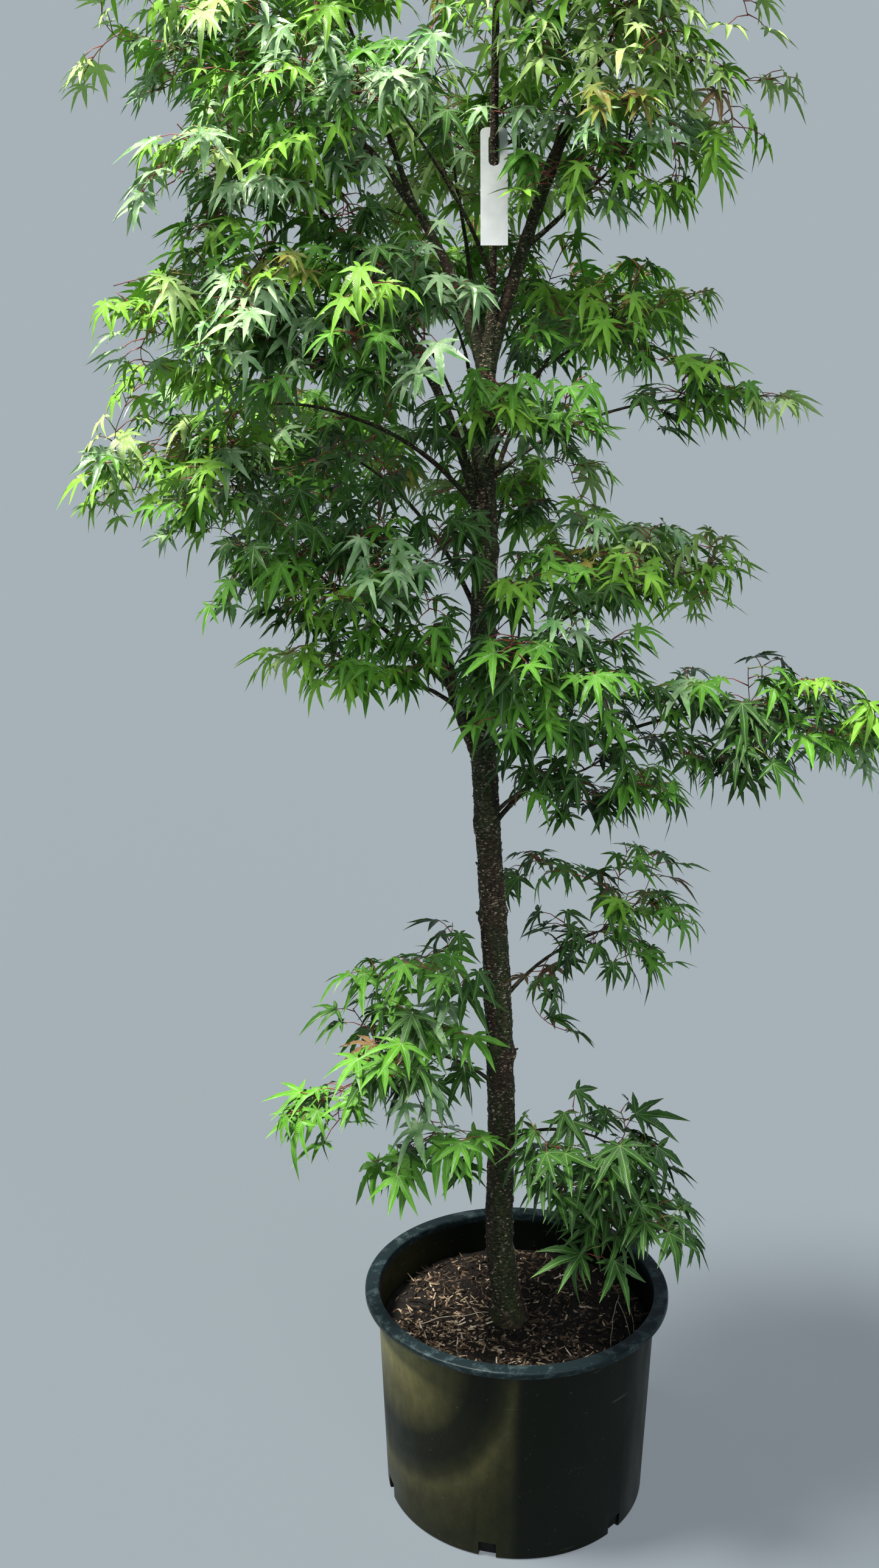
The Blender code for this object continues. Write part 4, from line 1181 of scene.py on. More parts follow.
def make_label():
    slot_top = LABEL_SLOT_FROM_TOP
    slot_foot = slot_top + LABEL_SLOT_LENGTH
    slot_half = LABEL_SLOT_WIDTH / 2
    depths = list(np.linspace(0, LABEL_CORNER, 5)) + list(np.linspace(slot_top, slot_top + slot_half, 5))
    depths += list(np.linspace(slot_foot - slot_half, slot_foot, 5)) + [slot_foot + 0.002]
    depths += list(np.linspace(slot_foot + 0.010, LABEL_LENGTH, 8))
    rows = []
    for depth in depths:
        outer = half_outline(depth, LABEL_WIDTH / 2, 0.0, -1.0, LABEL_CORNER)
        inner = 0.0
        if slot_top <= depth <= slot_foot:
            inner = half_outline(depth, slot_half, slot_top, slot_foot, slot_half)
        bow = LABEL_BOW * math.sin(math.pi * depth / LABEL_LENGTH)
        rows.append([(x, -bow, slot_foot - depth) for x in (-outer, -inner, inner, outer)])
    points = [point for row in rows for point in row]
    faces = []
    for row, (depth, below) in enumerate(zip(depths, depths[1:])):
        low = row * 4
        in_slot = slot_top <= depth and below <= slot_foot
        for column in (0, 2) if in_slot else (0, 1, 2):
            faces.append((low + column, low + column + 4, low + column + 5, low + column + 1))
    stem = min(limbs["trunk"].path, key=lambda point: abs(point.z - LABEL_SLOT_FOOT))
    width = limbs["trunk"].widths[limbs["trunk"].path.index(stem)]
    front = width / 2 + LABEL_THICKNESS / 2 + 2 * SEAT
    turn = Matrix.Rotation(math.radians(-LABEL_TILT), 4, "X")
    place = Matrix.Translation(stem + Vector((0, -front, 0))) @ turn
    label = mesh_object("label_tag", [place @ Vector(point) for point in points], faces, label_finish())
    weld = label.modifiers.new("weld", "WELD")
    weld.merge_threshold = 0.00001
    thick = label.modifiers.new("thickness", "SOLIDIFY")
    thick.thickness = LABEL_THICKNESS
    thick.offset = 0
    settle(label)
    label.data.set_sharp_from_angle(angle=math.radians(SHARP_FROM))
    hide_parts("label")
    return label


label = make_label()
print("label:", triangles(label), "triangles")

# %% [markdown]
# ## Twigs that seek open space
#
# Each mass of leaves has a space of its own: an ellipsoid with a middle and a reach. Its stem grows
# from its bough's tip to the middle. Goals are then spread evenly round the middle, and for each
# goal, nearest first, a twig leaves the best-placed point grown so far. This is the rule of the
# packed solids. Here it is carried on: when the main twigs stand, a second, finer set of goals is
# spread nearer the middle and further out, and the same rule reaches them with thinner twigs.
#
# A mass has its bough's name, and the top one stands on the trunk. The last three numbers of a row say
# how full of fine twigs it is, how much painted sunlight its leaves get, and the share of its sprays
# that get a painted sky sheen.

# %% Mass table
Mass = namedtuple("Mass", "name middle reach twigs seed full light silver")
MASSES = (
    Mass("top", (-0.04, 0.00, 1.930), (0.170, 0.170, 0.155), 6, 1, 0.9, 0.92, 0.14),
    Mass("left_top", (-0.235, 0.090, 1.775), (0.170, 0.160, 0.130), 5, 2, 1.0, 0.84, 0.16),
    Mass("back_leader", (-0.075, 0.130, 1.600), (0.170, 0.150, 0.160), 4, 3, 1.0, 0.80, 0.05),
    Mass("right_top", (0.080, -0.070, 1.700), (0.170, 0.145, 0.125), 5, 4, 0.8, 0.84, 0.08),
    Mass("left_leader", (-0.320, 0.030, 1.668), (0.170, 0.150, 0.115), 5, 5, 1.0, 0.66, 0.30),
    Mass("right_upper", (0.095, -0.065, 1.588), (0.170, 0.130, 0.128), 5, 6, 0.7, 0.66, 0.10),
    Mass("front_top", (-0.195, -0.155, 1.600), (0.150, 0.135, 0.110), 4, 7, 0.7, 0.52, 0.36),
    Mass("left_upper", (-0.27, -0.13, 1.530), (0.155, 0.140, 0.115), 4, 8, 1.0, 0.56, 0.28),
    Mass("left_mid", (-0.285, -0.145, 1.395), (0.155, 0.145, 0.108), 5, 9, 1.0, 0.50, 0.26),
    Mass("front_upper", (-0.165, -0.175, 1.405), (0.130, 0.115, 0.110), 4, 10, 0.7, 0.26, 0.16),
    Mass("right_mid", (0.085, 0.030, 1.390), (0.135, 0.130, 0.080), 4, 11, 0.4, 0.62, 0.05),
    Mass("back_upper", (-0.09, 0.25, 1.450), (0.180, 0.150, 0.140), 5, 12, 0.9, 0.55, 0.0),
    Mass("back_right", (0.07, 0.21, 1.430), (0.150, 0.140, 0.110), 4, 13, 0.7, 0.55, 0.0),
    Mass("left_outer", (-0.335, 0.040, 1.245), (0.175, 0.145, 0.125), 5, 34, 1.0, 0.46, 0.20),
    Mass("back_left", (-0.22, 0.22, 1.275), (0.160, 0.140, 0.125), 4, 15, 0.9, 0.45, 0.0),
    Mass("right_small", (0.195, -0.055, 1.320), (0.110, 0.100, 0.055), 3, 16, 0.5, 0.50, 0.0),
    Mass("front_right", (-0.005, -0.150, 1.055), (0.125, 0.110, 0.105), 4, 17, 0.6, 0.22, 0.05),
    Mass("front_mid", (-0.020, -0.110, 1.300), (0.105, 0.090, 0.065), 3, 27, 0.5, 0.25, 0.05),
    Mass("left_lower", (-0.20, -0.09, 1.155), (0.170, 0.140, 0.115), 5, 18, 0.9, 0.22, 0.06),
    Mass("back_low", (-0.01, 0.22, 1.215), (0.150, 0.130, 0.100), 3, 19, 0.9, 0.60, 0.0),
    Mass("right_broad", (0.120, 0.065, 1.135), (0.160, 0.140, 0.085), 5, 20, 0.8, 0.66, 0.04),
    Mass("left_low", (-0.19, -0.08, 1.045), (0.130, 0.105, 0.058), 3, 21, 0.35, 0.46, 0.0),
    Mass("right_long", (0.30, -0.08, 0.972), (0.190, 0.130, 0.080), 6, 22, 0.6, 0.30, 0.06),
    Mass("right_inner", (0.095, -0.100, 0.962), (0.150, 0.105, 0.118), 3, 23, 0.5, 0.18, 0.0),
    Mass("right_low", (0.110, 0.035, 0.715), (0.155, 0.130, 0.140), 4, 24, 0.35, 0.30, 0.0),
    Mass("left_foot", (-0.140, -0.050, 0.580), (0.165, 0.125, 0.180), 6, 25, 0.6, 0.20, 0.04),
    Mass("right_foot", (0.105, -0.125, 0.440), (0.140, 0.120, 0.160), 5, 26, 0.45, 0.04, 0.0),
)
print("masses:", len(MASSES))

# %% [markdown]
# ## Sprays and openings
#
# The rule alone fills every mass evenly, and a real crown isn't even. A low bough has a dozen sprays
# with sky between them, and there anyone sees at once where each one hangs. The masses in the first
# table get all their fine twigs from its places, and those in the second get a few more than the
# rule gives. Leaves keep out of the openings. Places are metres across and up, in the trunk's plane
# as the camera sees it, and are rounded to a centimetre: they say where, and the rule says how.

# %% Sprays and openings
SPRAYS = {
    "right_low": (
        (0.04, 0.73), (0.03, 0.81), (0.11, 0.82), (0.14, 0.75), (0.02, 0.63),
        (0.15, 0.82), (0.10, 0.76), (0.11, 0.71), (0.00, 0.77), (0.01, 0.65), (0.05, 0.60), (0.17, 0.73),
        (0.12, 0.69), (0.04, 0.79), (0.07, 0.70),
    ),
    "left_foot": (
        (-0.14, 0.57), (-0.06, 0.55), (-0.09, 0.69), (-0.15, 0.67), (-0.08, 0.60), (-0.21, 0.51),
        (-0.07, 0.46), (-0.13, 0.45), (-0.17, 0.61), (-0.26, 0.48), (-0.11, 0.54), (-0.12, 0.63),
        (-0.17, 0.55), (-0.06, 0.66), (-0.25, 0.51), (-0.06, 0.43), (-0.18, 0.66),
        (-0.14, 0.68), (-0.07, 0.72), (-0.15, 0.44), (-0.22, 0.49),
    ),
    "right_foot": (
        (0.13, 0.44), (0.02, 0.48), (0.07, 0.49), (0.05, 0.43), (0.16, 0.42), (0.12, 0.49), (0.02, 0.42),
        (0.10, 0.41), (0.10, 0.38), (0.15, 0.37), (0.18, 0.34), (0.21, 0.33), (0.11, 0.34),
    ),
    "left_low": (
        (-0.10, 1.07), (-0.18, 1.04), (-0.17, 1.09), (-0.25, 1.04), (-0.13, 1.03), (-0.22, 1.09),
        (-0.14, 1.06),
    ),
    "right_inner": (
        (0.16, 0.99), (0.14, 0.90), (0.10, 0.98), (0.05, 0.89), (0.09, 1.05), (0.19, 0.94),
        (0.04, 0.97), (0.01, 0.90), (0.05, 1.02), (0.16, 0.89), (0.07, 0.88), (-0.01, 0.95), (-0.01, 0.88),
    ),
    "right_long": (
        (0.36, 0.96), (0.25, 0.98), (0.20, 0.98), (0.30, 1.01), (0.22, 0.93), (0.27, 0.95),
        (0.38, 0.94), (0.26, 1.03), (0.33, 1.00), (0.18, 1.01), (0.33, 0.95), (0.41, 0.97),
        (0.34, 1.00), (0.23, 0.91), (0.35, 0.94),
    ),
    "right_small": ((0.23, 1.33), (0.19, 1.35), (0.12, 1.31), (0.27, 1.32), (0.16, 1.33)),
}
MORE_SPRAYS = {
    "right_top": ((-0.07, 1.72), (0.02, 1.66)),
    "right_upper": ((0.07, 1.52), (0.02, 1.54), (0.13, 1.53), (0.25, 1.63), (0.10, 1.56)),
    "right_broad": ((-0.01, 1.13),),
    "right_mid": ((0.17, 1.42),),
    "left_mid": ((-0.39, 1.34), (-0.33, 1.47), (-0.44, 1.42), (-0.28, 1.34)),
    "front_mid": ((-0.11, 1.31), (0.07, 1.28)),
    "left_lower": ((-0.16, 1.24), (-0.09, 1.17)),
    "left_outer": ((-0.46, 1.24), (-0.34, 1.33), (-0.47, 1.25), (-0.40, 1.33)),
    "left_leader": ((-0.38, 1.72),),
    "left_upper": ((-0.20, 1.50),),
    "back_leader": ((-0.07, 1.68), (0.01, 1.52)),
    "front_right": ((0.00, 1.11),),
    "front_upper": ((-0.16, 1.34),),
}
OPEN_SKY = (
    (0.21, 1.71), (0.03, 1.45), (-0.42, 1.37), (-0.44, 1.66), (0.09, 1.71), (0.04, 1.23), (0.15, 1.33),
    (-0.38, 1.52), (-0.37, 1.60), (-0.42, 1.44), (-0.02, 1.27), (-0.09, 1.38), (-0.40, 1.27),
    (0.27, 1.33), (0.22, 1.67), (0.07, 0.86), (0.00, 0.86), (-0.20, 0.61), (-0.22, 0.57),
    (0.13, 0.77), (0.09, 0.72), (0.18, 0.65), (0.08, 0.91), (0.24, 1.01), (0.07, 0.97), (-0.27, 1.05),
    (-0.45, 1.43), (-0.49, 1.25), (-0.39, 1.59), (-0.46, 1.68), (-0.22, 0.52), (-0.10, 1.00), (-0.19, 0.45),
    (0.14, 1.54), (0.22, 1.61), (0.05, 0.50),
)
OPEN_RADIUS = 0.025
print("placed sprays:", sum(map(len, SPRAYS.values())) + sum(map(len, MORE_SPRAYS.values())))
print("openings:", len(OPEN_SKY))

# %% [markdown]
# ## Seen from the camera
#
# A place in the trunk's plane stands for a whole line of sight. These helpers go both ways: from a
# place and a depth to the point that the camera sees there, and from a point back to its place.

# %% Lines of sight
def along_sight(across, height, depth):
    """The point at a depth that the camera sees at this place of the trunk's plane."""
    x, y, z = CAMERA_PLACE
    share = (depth - y) / -y
    return Vector((x + (across - x) * share, depth, z + (height - z) * share))


def seen_at(point):
    """Across and up in the trunk's plane: where the camera sees the point."""
    x, y, z = CAMERA_PLACE
    share = -y / (point.y - y)
    return x + (point.x - x) * share, z + (point.z - z) * share


def in_open_sky(point):
    """Whether the camera sees the point in an opening of the crown."""
    across, height = seen_at(point)
    return any(math.hypot(across - a, height - h) < OPEN_RADIUS for a, h in OPEN_SKY)


print("the top mass is seen at", [round(value, 3) for value in seen_at(Vector(MASSES[0].middle))])

# %% [markdown]
# ## Goals for the twigs
#
# Most goals are spread by the golden angle, which puts any number of points evenly round a middle.
# A placed spray gets its goal at a random depth. Where that depth would leave the mass's space, a
# depth nearer the middle is tried. A spray out of reach is printed and left out.

# %% Goals
GOLDEN_ANGLE = 2.39996
FLATTENED = 0.8
SPACE_MARGIN = 1.12
GOALS_A_SPRAY = 2
SPARSE_BELOW = 0.80
SPRAY_HALF = 0.013
SPRAY_DEPTH = 0.55


def within(mass, point):
    """Whether the point lies in the mass's space, with the margin that its tips may use."""
    away = sum(((p - m) / r) ** 2 for p, m, r in zip(point, mass.middle, mass.reach))
    return away < SPACE_MARGIN ** 2


def goals_of(mass, count, spread, first_turn, rng):
    """Goals spread evenly round the middle of the mass."""
    found = []
    for index in range(count):
        height = 1 - 2 * (index + 0.5) / count
        turn = index * GOLDEN_ANGLE + first_turn
        flat = math.sqrt(1 - height * height)
        way = Vector((flat * math.cos(turn), flat * math.sin(turn), height * FLATTENED))
        share = spread * rng.uniform(0.85, 1.1)
        found.append(Vector(mass.middle) + Vector([w * r * share for w, r in zip(way, mass.reach)]))
    return found


def placed_goals(mass, places, rng):
    """A goal for each placed spray, at a depth where it lies in the mass's space."""
    found = []
    goals = 1 if mass.middle[2] < SPARSE_BELOW else GOALS_A_SPRAY
    for across, height in [place for place in places for _ in range(goals)]:
        across += rng.uniform(-SPRAY_HALF, SPRAY_HALF)
        height += rng.uniform(-SPRAY_HALF, SPRAY_HALF)
        depth = mass.middle[1] + rng.uniform(-SPRAY_DEPTH, SPRAY_DEPTH) * mass.reach[1]
        for share in (1.0, 0.5, 0.0):
            goal = along_sight(across, height, mass.middle[1] + (depth - mass.middle[1]) * share)
            if within(mass, goal):
                found.append(goal)
                break
        else:
            print("out of reach:", mass.name, round(across, 3), round(height, 3))
    return found


print("goals for the main twigs:", sum(mass.twigs for mass in MASSES))

# %% [markdown]
# ## Growing the twigs
#
# Each goal is reached from the grown point that costs least: the distance counts, and so does the
# turn that a twig would have to take there. A twig is thinner than the one it leaves and ends in a
# tip of about a millimetre. One that would leave the mass's space isn't grown.

# %% Twig rule
Twig = namedtuple("Twig", "path widths fine")
TWIG_SPREAD = 0.56
FINE_SPREADS = (0.32, 0.58, 0.80, 0.70)
FINE_TWIGS = 8.4
LEAST_TWIG = 0.022
TWIG_STEPS = 5
TWIG_KNEE = 0.45
TWIG_TIP = 0.0011
STEM_TIP = 0.0024
TURN_COST = 0.6


def bend(start, ahead, goal, steps):
    """A smooth curve that leaves the start ahead and ends at the goal."""
    knee = start + ahead * TWIG_KNEE * (goal - start).length
    shares = [step / steps for step in range(steps + 1)]
    return [start.lerp(knee, share).lerp(knee.lerp(goal, share), share) for share in shares]


def reach_goals(twigs, goals, foot, fine):
    """Adds a twig for each goal, nearest first, from the best-placed point grown so far."""
    for goal in sorted(goals, key=lambda goal: (goal - foot).length):
        best = None
        for twig in twigs:
            for at in range(1, len(twig.path)):
                way = goal - twig.path[at]
                run = (twig.path[at] - twig.path[at - 1]).normalized()
                cost = way.length * (1 + TURN_COST - run.dot(way.normalized()) * TURN_COST)
                if way.length > LEAST_TWIG and (best is None or cost < best[0]):
                    best = (cost, twig.path[at], run, twig.widths[at])
        if best is None:
            continue
        _, start, run, width = best
        leave = (run + (goal - start).normalized()).normalized()
        path = bend(start, leave, goal, TWIG_STEPS)
        wide = max(width * 0.8, TWIG_TIP)
        widths = [wide + (TWIG_TIP - wide) * step / TWIG_STEPS for step in range(TWIG_STEPS + 1)]
        if all(within(mass, point) for point in path[1:]):
            twigs.append(Twig(path, widths, fine))


def grow_twigs(mass):
    """The stem, the main twigs of the packed solid's rule, and the finer twigs."""
    rng = random.Random(mass.seed)
    limb = limbs["trunk" if mass.name == "top" else mass.name]
    foot = limb.path[-1]
    ahead = (foot - limb.path[-3]).normalized()
    stem = bend(foot, ahead, Vector(mass.middle), TWIG_STEPS + 1)
    width = limb.widths[-1]
    widths = [width + (STEM_TIP - width) * step / (TWIG_STEPS + 1) for step in range(TWIG_STEPS + 2)]
    twigs = [Twig(stem, widths, False)]
    reach_goals(twigs, goals_of(mass, mass.twigs, TWIG_SPREAD, mass.seed, rng), foot, False)
    fine = 0 if mass.name in SPRAYS else round(mass.twigs * FINE_TWIGS * mass.full)
    for number, spread in enumerate(FINE_SPREADS):
        share = fine // len(FINE_SPREADS) + (number < fine % len(FINE_SPREADS))
        reach_goals(twigs, goals_of(mass, share, spread, mass.seed + number * 1.3, rng), foot, True)
    places = SPRAYS.get(mass.name, MORE_SPRAYS.get(mass.name, ()))
    reach_goals(twigs, placed_goals(mass, places, random.Random(mass.seed + 50)), foot, True)
    return twigs


crown = {}
for mass in MASSES:
    crown[mass.name] = grow_twigs(mass)
print("twigs:", sum(len(twigs) for twigs in crown.values()))

# %% [markdown]
# ## One leaf
#
# A leaf of this maple has five or seven narrow lobes that meet in a point, cut almost to the stalk,
# each drawn out to a long tip and toothed like a saw. Photographs on flat cards are the quick way,
# but they look like cards from the side. Here the outline itself is built: each half of a lobe is
# three faces between the midrib and a zigzag edge. The lobes bend down towards their tips and fold
# up a little along the midrib. The UV map says how far along the lobe and how far from the midrib
# a point is, and the finish draws the veins by it.

# %% Leaf shapes
LeafShape = namedtuple("LeafShape", "points faces ribs")
SEVEN_LOBES = ((-122, 0.27), (-79, 0.60), (-39, 0.88), (0, 1.0), (39, 0.88), (79, 0.60), (122, 0.27))
FIVE_LOBES = ((-92, 0.46), (-44, 0.84), (0, 1.0), (44, 0.84), (92, 0.46))
NOTCH = 0.25
HEEL = 0.06
HEEL_TURN = 28
RIB_PLACES = (0.40, 0.60)
# Along the lobe and aside: the shoulder, a tooth's root, its point and the root of the long tip
EDGE = ((0.40, 0.094), (0.50, 0.074), (0.54, 0.084), (0.73, 0.050))
LOBE_SWAY = 0.06
LOBE_SAG = (0.5, 1.7)
LOBE_TILT = 0.32
DROOPS, FOLDS = (0.14, 0.44), (0.30, 0.85)
SHAPES_OF = ((SEVEN_LOBES, 9), (FIVE_LOBES, 3))


def leaf_shape(lobes, droop, fold, rng):
    """A leaf one unit long in the XY plane: stalk end at the origin, middle lobe along +Y."""
    lobes = [(angle + rng.uniform(-5, 5), length * rng.uniform(0.90, 1.08)) for angle, length in lobes]
    points, ribs, faces = [], [], []

    def add(along, aside, axis, rib, sag=1.0, tilt=0.0):
        turn = math.radians(axis)
        way = (math.sin(turn), math.cos(turn))
        side = (math.cos(turn), -math.sin(turn))
        x = along * way[0] + aside * side[0]
        y = along * way[1] + aside * side[1]
        away = math.hypot(x, y)
        z = fold * abs(aside) + tilt * aside - droop * sag * away * away
        points.append((x, y, z))
        ribs.append(rib)
        return len(points) - 1

    hub = add(0, 0, 0, (0.0, 0.0))
    notches = [add(HEEL, 0, lobes[0][0] - HEEL_TURN, (0.3, 1.0))]
    for (low, near), (high, far) in zip(lobes, lobes[1:]):
        notches.append(add(NOTCH * (near + far) / 2, 0, (low + high) / 2, (0.3, 1.0)))
    notches.append(add(HEEL, 0, lobes[-1][0] + HEEL_TURN, (0.3, 1.0)))
    for number, (axis, length) in enumerate(lobes):
        slim = 0.25 + 0.75 * length
        sway = rng.uniform(-LOBE_SWAY, LOBE_SWAY)
        lie = (rng.uniform(*LOBE_SAG), rng.uniform(-LOBE_TILT, LOBE_TILT))
        rib = []
        for place in RIB_PLACES:
            rib.append(add(place * length, sway * place * place * length, axis, (place, 0.0), *lie))
        tip = add(length, sway * length, axis, (1.0, 0.0), *lie)
        for hand in (-1, 1):
            edge = []
            for place, width in EDGE:
                aside = hand * width * slim + sway * place * place * length
                edge.append(add(place * length, aside, axis, (place, 1.0), *lie))
            notch = notches[number + (hand > 0)]
            half = [
                (hub, rib[0], edge[0], notch),
                (rib[0], rib[1], edge[2], edge[1], edge[0]),
                (rib[1], tip, edge[3], edge[2]),
            ]
            faces += half if hand < 0 else [tuple(reversed(face)) for face in half]
    return LeafShape(np.array(points), faces, np.array(ribs))


shape_rng = random.Random(7)
LEAF_SHAPES = []
for lobes, count in SHAPES_OF:
    for _ in range(count):
        droop, fold = shape_rng.uniform(*DROOPS), shape_rng.uniform(*FOLDS)
        LEAF_SHAPES.append(leaf_shape(lobes, droop, fold, shape_rng))
print("a leaf:", len(LEAF_SHAPES[0].points), "points,", len(LEAF_SHAPES[0].faces), "faces")

# %% [markdown]
# ## Free air
#
# Leaves mustn't grow through wood. Testing every leaf against every bough would be slow, so space is
# cut into cells of seven millimetres, and a set holds the cells that the limbs and the pot's lip
# fill. A leaf looks up the cells of its own points, which is quick however large the tree is.

# %% Free air
AIR_CELL = 0.0070
BARK_ROOM = 0.001
ROUND_STEPS, LIP_STEPS = 8, 240

wood_cells = set()
leaf_cells = set()


def cells_of(points):
    return set(map(tuple, np.floor(np.asarray(points) / AIR_CELL).astype(int)))


def fill_round(path, radii):
    """Marks the air that a limb fills."""
    for centre, radius in zip(path, radii):
        filled = [tuple(centre)]
        for step in range(ROUND_STEPS):
            turn = math.tau * step / ROUND_STEPS
            filled.append((centre.x + radius * math.cos(turn), centre.y + radius * math.sin(turn), centre.z))
        wood_cells.update(cells_of(filled))


for limb in limbs.values():
    fill_round(limb.path[::2], [width / 2 + BARK_ROOM for width in limb.widths[::2]])
rim_turns = [math.tau * step / LIP_STEPS for step in range(LIP_STEPS)]
for radius in (RIM_RADIUS, RIM_RADIUS - LIP_BAND):
    for level in (POT_HEIGHT, POT_HEIGHT - LIP_SKIRT):
        lip = [(radius * math.cos(turn), radius * math.sin(turn), level) for turn in rim_turns]
        wood_cells.update(cells_of(lip))
print("cells of wood and lip:", len(wood_cells))

# %% [markdown]
# ## How a leaf hangs
#
# Leaves sit on the twigs in opposite pairs, on thin stalks that lean outwards, and each blade droops
# from the end of its stalk and turns its face to the light. A leaf's place is one matrix, made from
# three directions at right angles, because a matrix can later move all of its points at once.

# %% A leaf's place
UP = Vector((0, 0, 1))
LEAF_DROOP = (4, 64)
LEAF_ROLL = 0.4
LEAF_OUTWARD = 0.7
STALK = (0.013, 0.032)
# Shares of a twig's length where its pairs sit: at the tip, and back along it
LEAF_NODES = ((0.96, 0.99), (0.46, 0.52), (0.72, 0.77), (0.26, 0.30))
PAIRS_ON_FINE_TWIGS = 3


def leaf_matrix(root, run, hand, size, rng):
    """Where the hub is, and the matrix that lays a unit leaf there."""
    side = run.cross(UP)
    side = side.normalized() if side.length > 0.1 else Vector((1, 0, 0))
    way = run * rng.uniform(0.2, 0.9) + side * hand * rng.uniform(0.5, 1.0)
    way = (way + UP * rng.uniform(-0.25, 0.35)).normalized()
    hub = root + way * rng.uniform(*STALK)
    outward = Vector((root.x, root.y, 0)).normalized()
    level = (Vector((way.x, way.y, 0)) + outward * LEAF_OUTWARD).normalized()
    droop = math.radians(rng.uniform(*LEAF_DROOP))
    ahead = level * math.cos(droop) - UP * math.sin(droop)
    up = level * math.sin(droop) + UP * math.cos(droop)
    up = (up + ahead.cross(up) * rng.uniform(-LEAF_ROLL, LEAF_ROLL)).normalized()
    across = ahead.cross(up)
    turn = Matrix((across, ahead, up)).transposed().to_4x4()
    return hub, Matrix.Translation(hub) @ turn @ Matrix.Scale(size, 4)


def leaf_places(twig):
    """Where the twig's leaves leave it: pairs along it and one pair at its tip."""
    for shares in LEAF_NODES[: PAIRS_ON_FINE_TWIGS if twig.fine else None]:
        for hand, share in zip((-1, 1), shares):
            place = share * (len(twig.path) - 1)
            step = min(int(place), len(twig.path) - 2)
            run = (twig.path[step + 1] - twig.path[step]).normalized()
            yield twig.path[step].lerp(twig.path[step + 1], place - step), run, hand


print("leaves on a main twig, at most:", 2 * len(LEAF_NODES))

# %% [markdown]
# ## Wood that stays in view
#
# In the photograph a few stretches of boughs and the label show between the leaves. A leaf in front of
# such a stretch is tried again in another pose. It may still hang behind it, and that keeps the
# crown full on the sides that the camera doesn't see.

# %% Wood in view
# Each limb's stretch, as shares of its length, and the clear width round it
SHOWN_LIMBS = {
    "right_leader": (0.10, 1.0, 0.017),
    "left_upper": (0.12, 0.62, 0.012),
    "left_leader": (0.10, 0.60, 0.012),
}
LABEL_IN_VIEW = (-0.038, -0.02)
LABEL_LEVELS = np.linspace(1.47, 1.60, 9)
LABEL_CLEAR = 0.016

shown_places = []
for level in LABEL_LEVELS:
    shown_places.append((*seen_at(Vector((*LABEL_IN_VIEW, level))), LABEL_IN_VIEW[1], LABEL_CLEAR))
for name, (first, last, clear) in SHOWN_LIMBS.items():
    path = limbs[name].path
    for point in path[round(first * len(path)) : round(last * len(path)) : 3]:
        shown_places.append((*seen_at(point), point.y, clear))


def hides_wood(point):
    """Whether a leaf here would hide one of those stretches from the camera."""
    across, height = seen_at(point)
    return any(
        point.y < depth and math.hypot(across - a, height - h) < clear for a, h, depth, clear in shown_places
    )


print("places kept in view:", len(shown_places))

# %% [markdown]
# ## Hanging the leaves
#
# A pose is drawn at random and tried: every point has to be in the mass's space, none in the cells of
# the wood, and only a few in cells that other leaves pass through. Where no pose fits after nine
# tries, the leaf is left out. Leaves nearest the pot are in the shade and grow a third larger.

# %% Hang the leaves
Leaf = namedtuple("Leaf", "shape matrix root hub spray mass")
LEAF_SIZE = (0.021, 0.054, 0.034)
SHADE_GROWTH = ((0.62, 1.32), (1.06, 1.06), (9.0, 1.0))
LEAF_TRIES = 9
BLADE_MIDDLE = Vector((0, 0.45, 0))
SHARED_AIR = 10

leaves = []
skipped = 0
for mass in MASSES:
    rng = random.Random(mass.seed + 100)
    growth = next(growth for level, growth in SHADE_GROWTH if mass.middle[2] < level)
    for spray, twig in enumerate(crown[mass.name]):
        for root, run, hand in leaf_places(twig):
            for _ in range(LEAF_TRIES):
                shape = rng.choice(LEAF_SHAPES)
                hub, matrix = leaf_matrix(root, run, hand, growth * rng.triangular(*LEAF_SIZE), rng)
                grid = np.array(matrix)
                placed = shape.points @ grid[:3, :3].T + grid[:3, 3]
                away = (placed - np.array(mass.middle)) / np.array(mass.reach)
                blade = matrix @ BLADE_MIDDLE
                if (away ** 2).sum(axis=1).max() > SPACE_MARGIN ** 2:
                    continue
                if in_open_sky(blade) or hides_wood(blade):
                    continue
                cells = cells_of(placed)
                if cells & wood_cells or len(cells & leaf_cells) > SHARED_AIR:
                    continue
                leaf_cells |= cells
                leaves.append(Leaf(shape, grid, root, hub, spray, mass))
                break
            else:
                skipped += 1
print("leaves:", len(leaves), "left out:", skipped)

# %% [markdown]
# ## Leaf colours
#
# The leaves get several greens at once, and most of the difference is painted light. Those in the sun
# get a painted sunlit lime, those inside a painted shade of deep green, and waxy ones a painted pale
# sheen where they face the sky; a few young ones are bronze, their own colour. Every finish is the
# same network with another base colour: a soft mottle, a pale midrib drawn by the UV map, and a fine
# herringbone of side veins.

# %% Leaf finishes
# The first four greens are one leaf green in painted shade and painted sunlight, from dark to light
LEAF_COLOURS = {
    "leaf_deep": ((0.009, 0.052, 0.003), (0.027, 0.105, 0.006)),
    "leaf_green": ((0.046, 0.185, 0.007), (0.094, 0.290, 0.014)),
    "leaf_fresh": ((0.140, 0.370, 0.016), (0.235, 0.500, 0.036)),
    "leaf_lime": ((0.330, 0.540, 0.110), (0.500, 0.700, 0.240)),
    # A painted pale reflection of the sky on waxy leaves, over a green base
    "leaf_silver": ((0.080, 0.250, 0.050), (0.400, 0.600, 0.300)),
    "leaf_bronze": ((0.150, 0.210, 0.020), (0.300, 0.230, 0.045)),
    "leaf_dry": ((0.090, 0.040, 0.016), (0.210, 0.110, 0.050)),
}
LEAF_NAMES = list(LEAF_COLOURS)
VEIN = (0.30, 0.46, 0.17)
SIDE_VEINS = 30
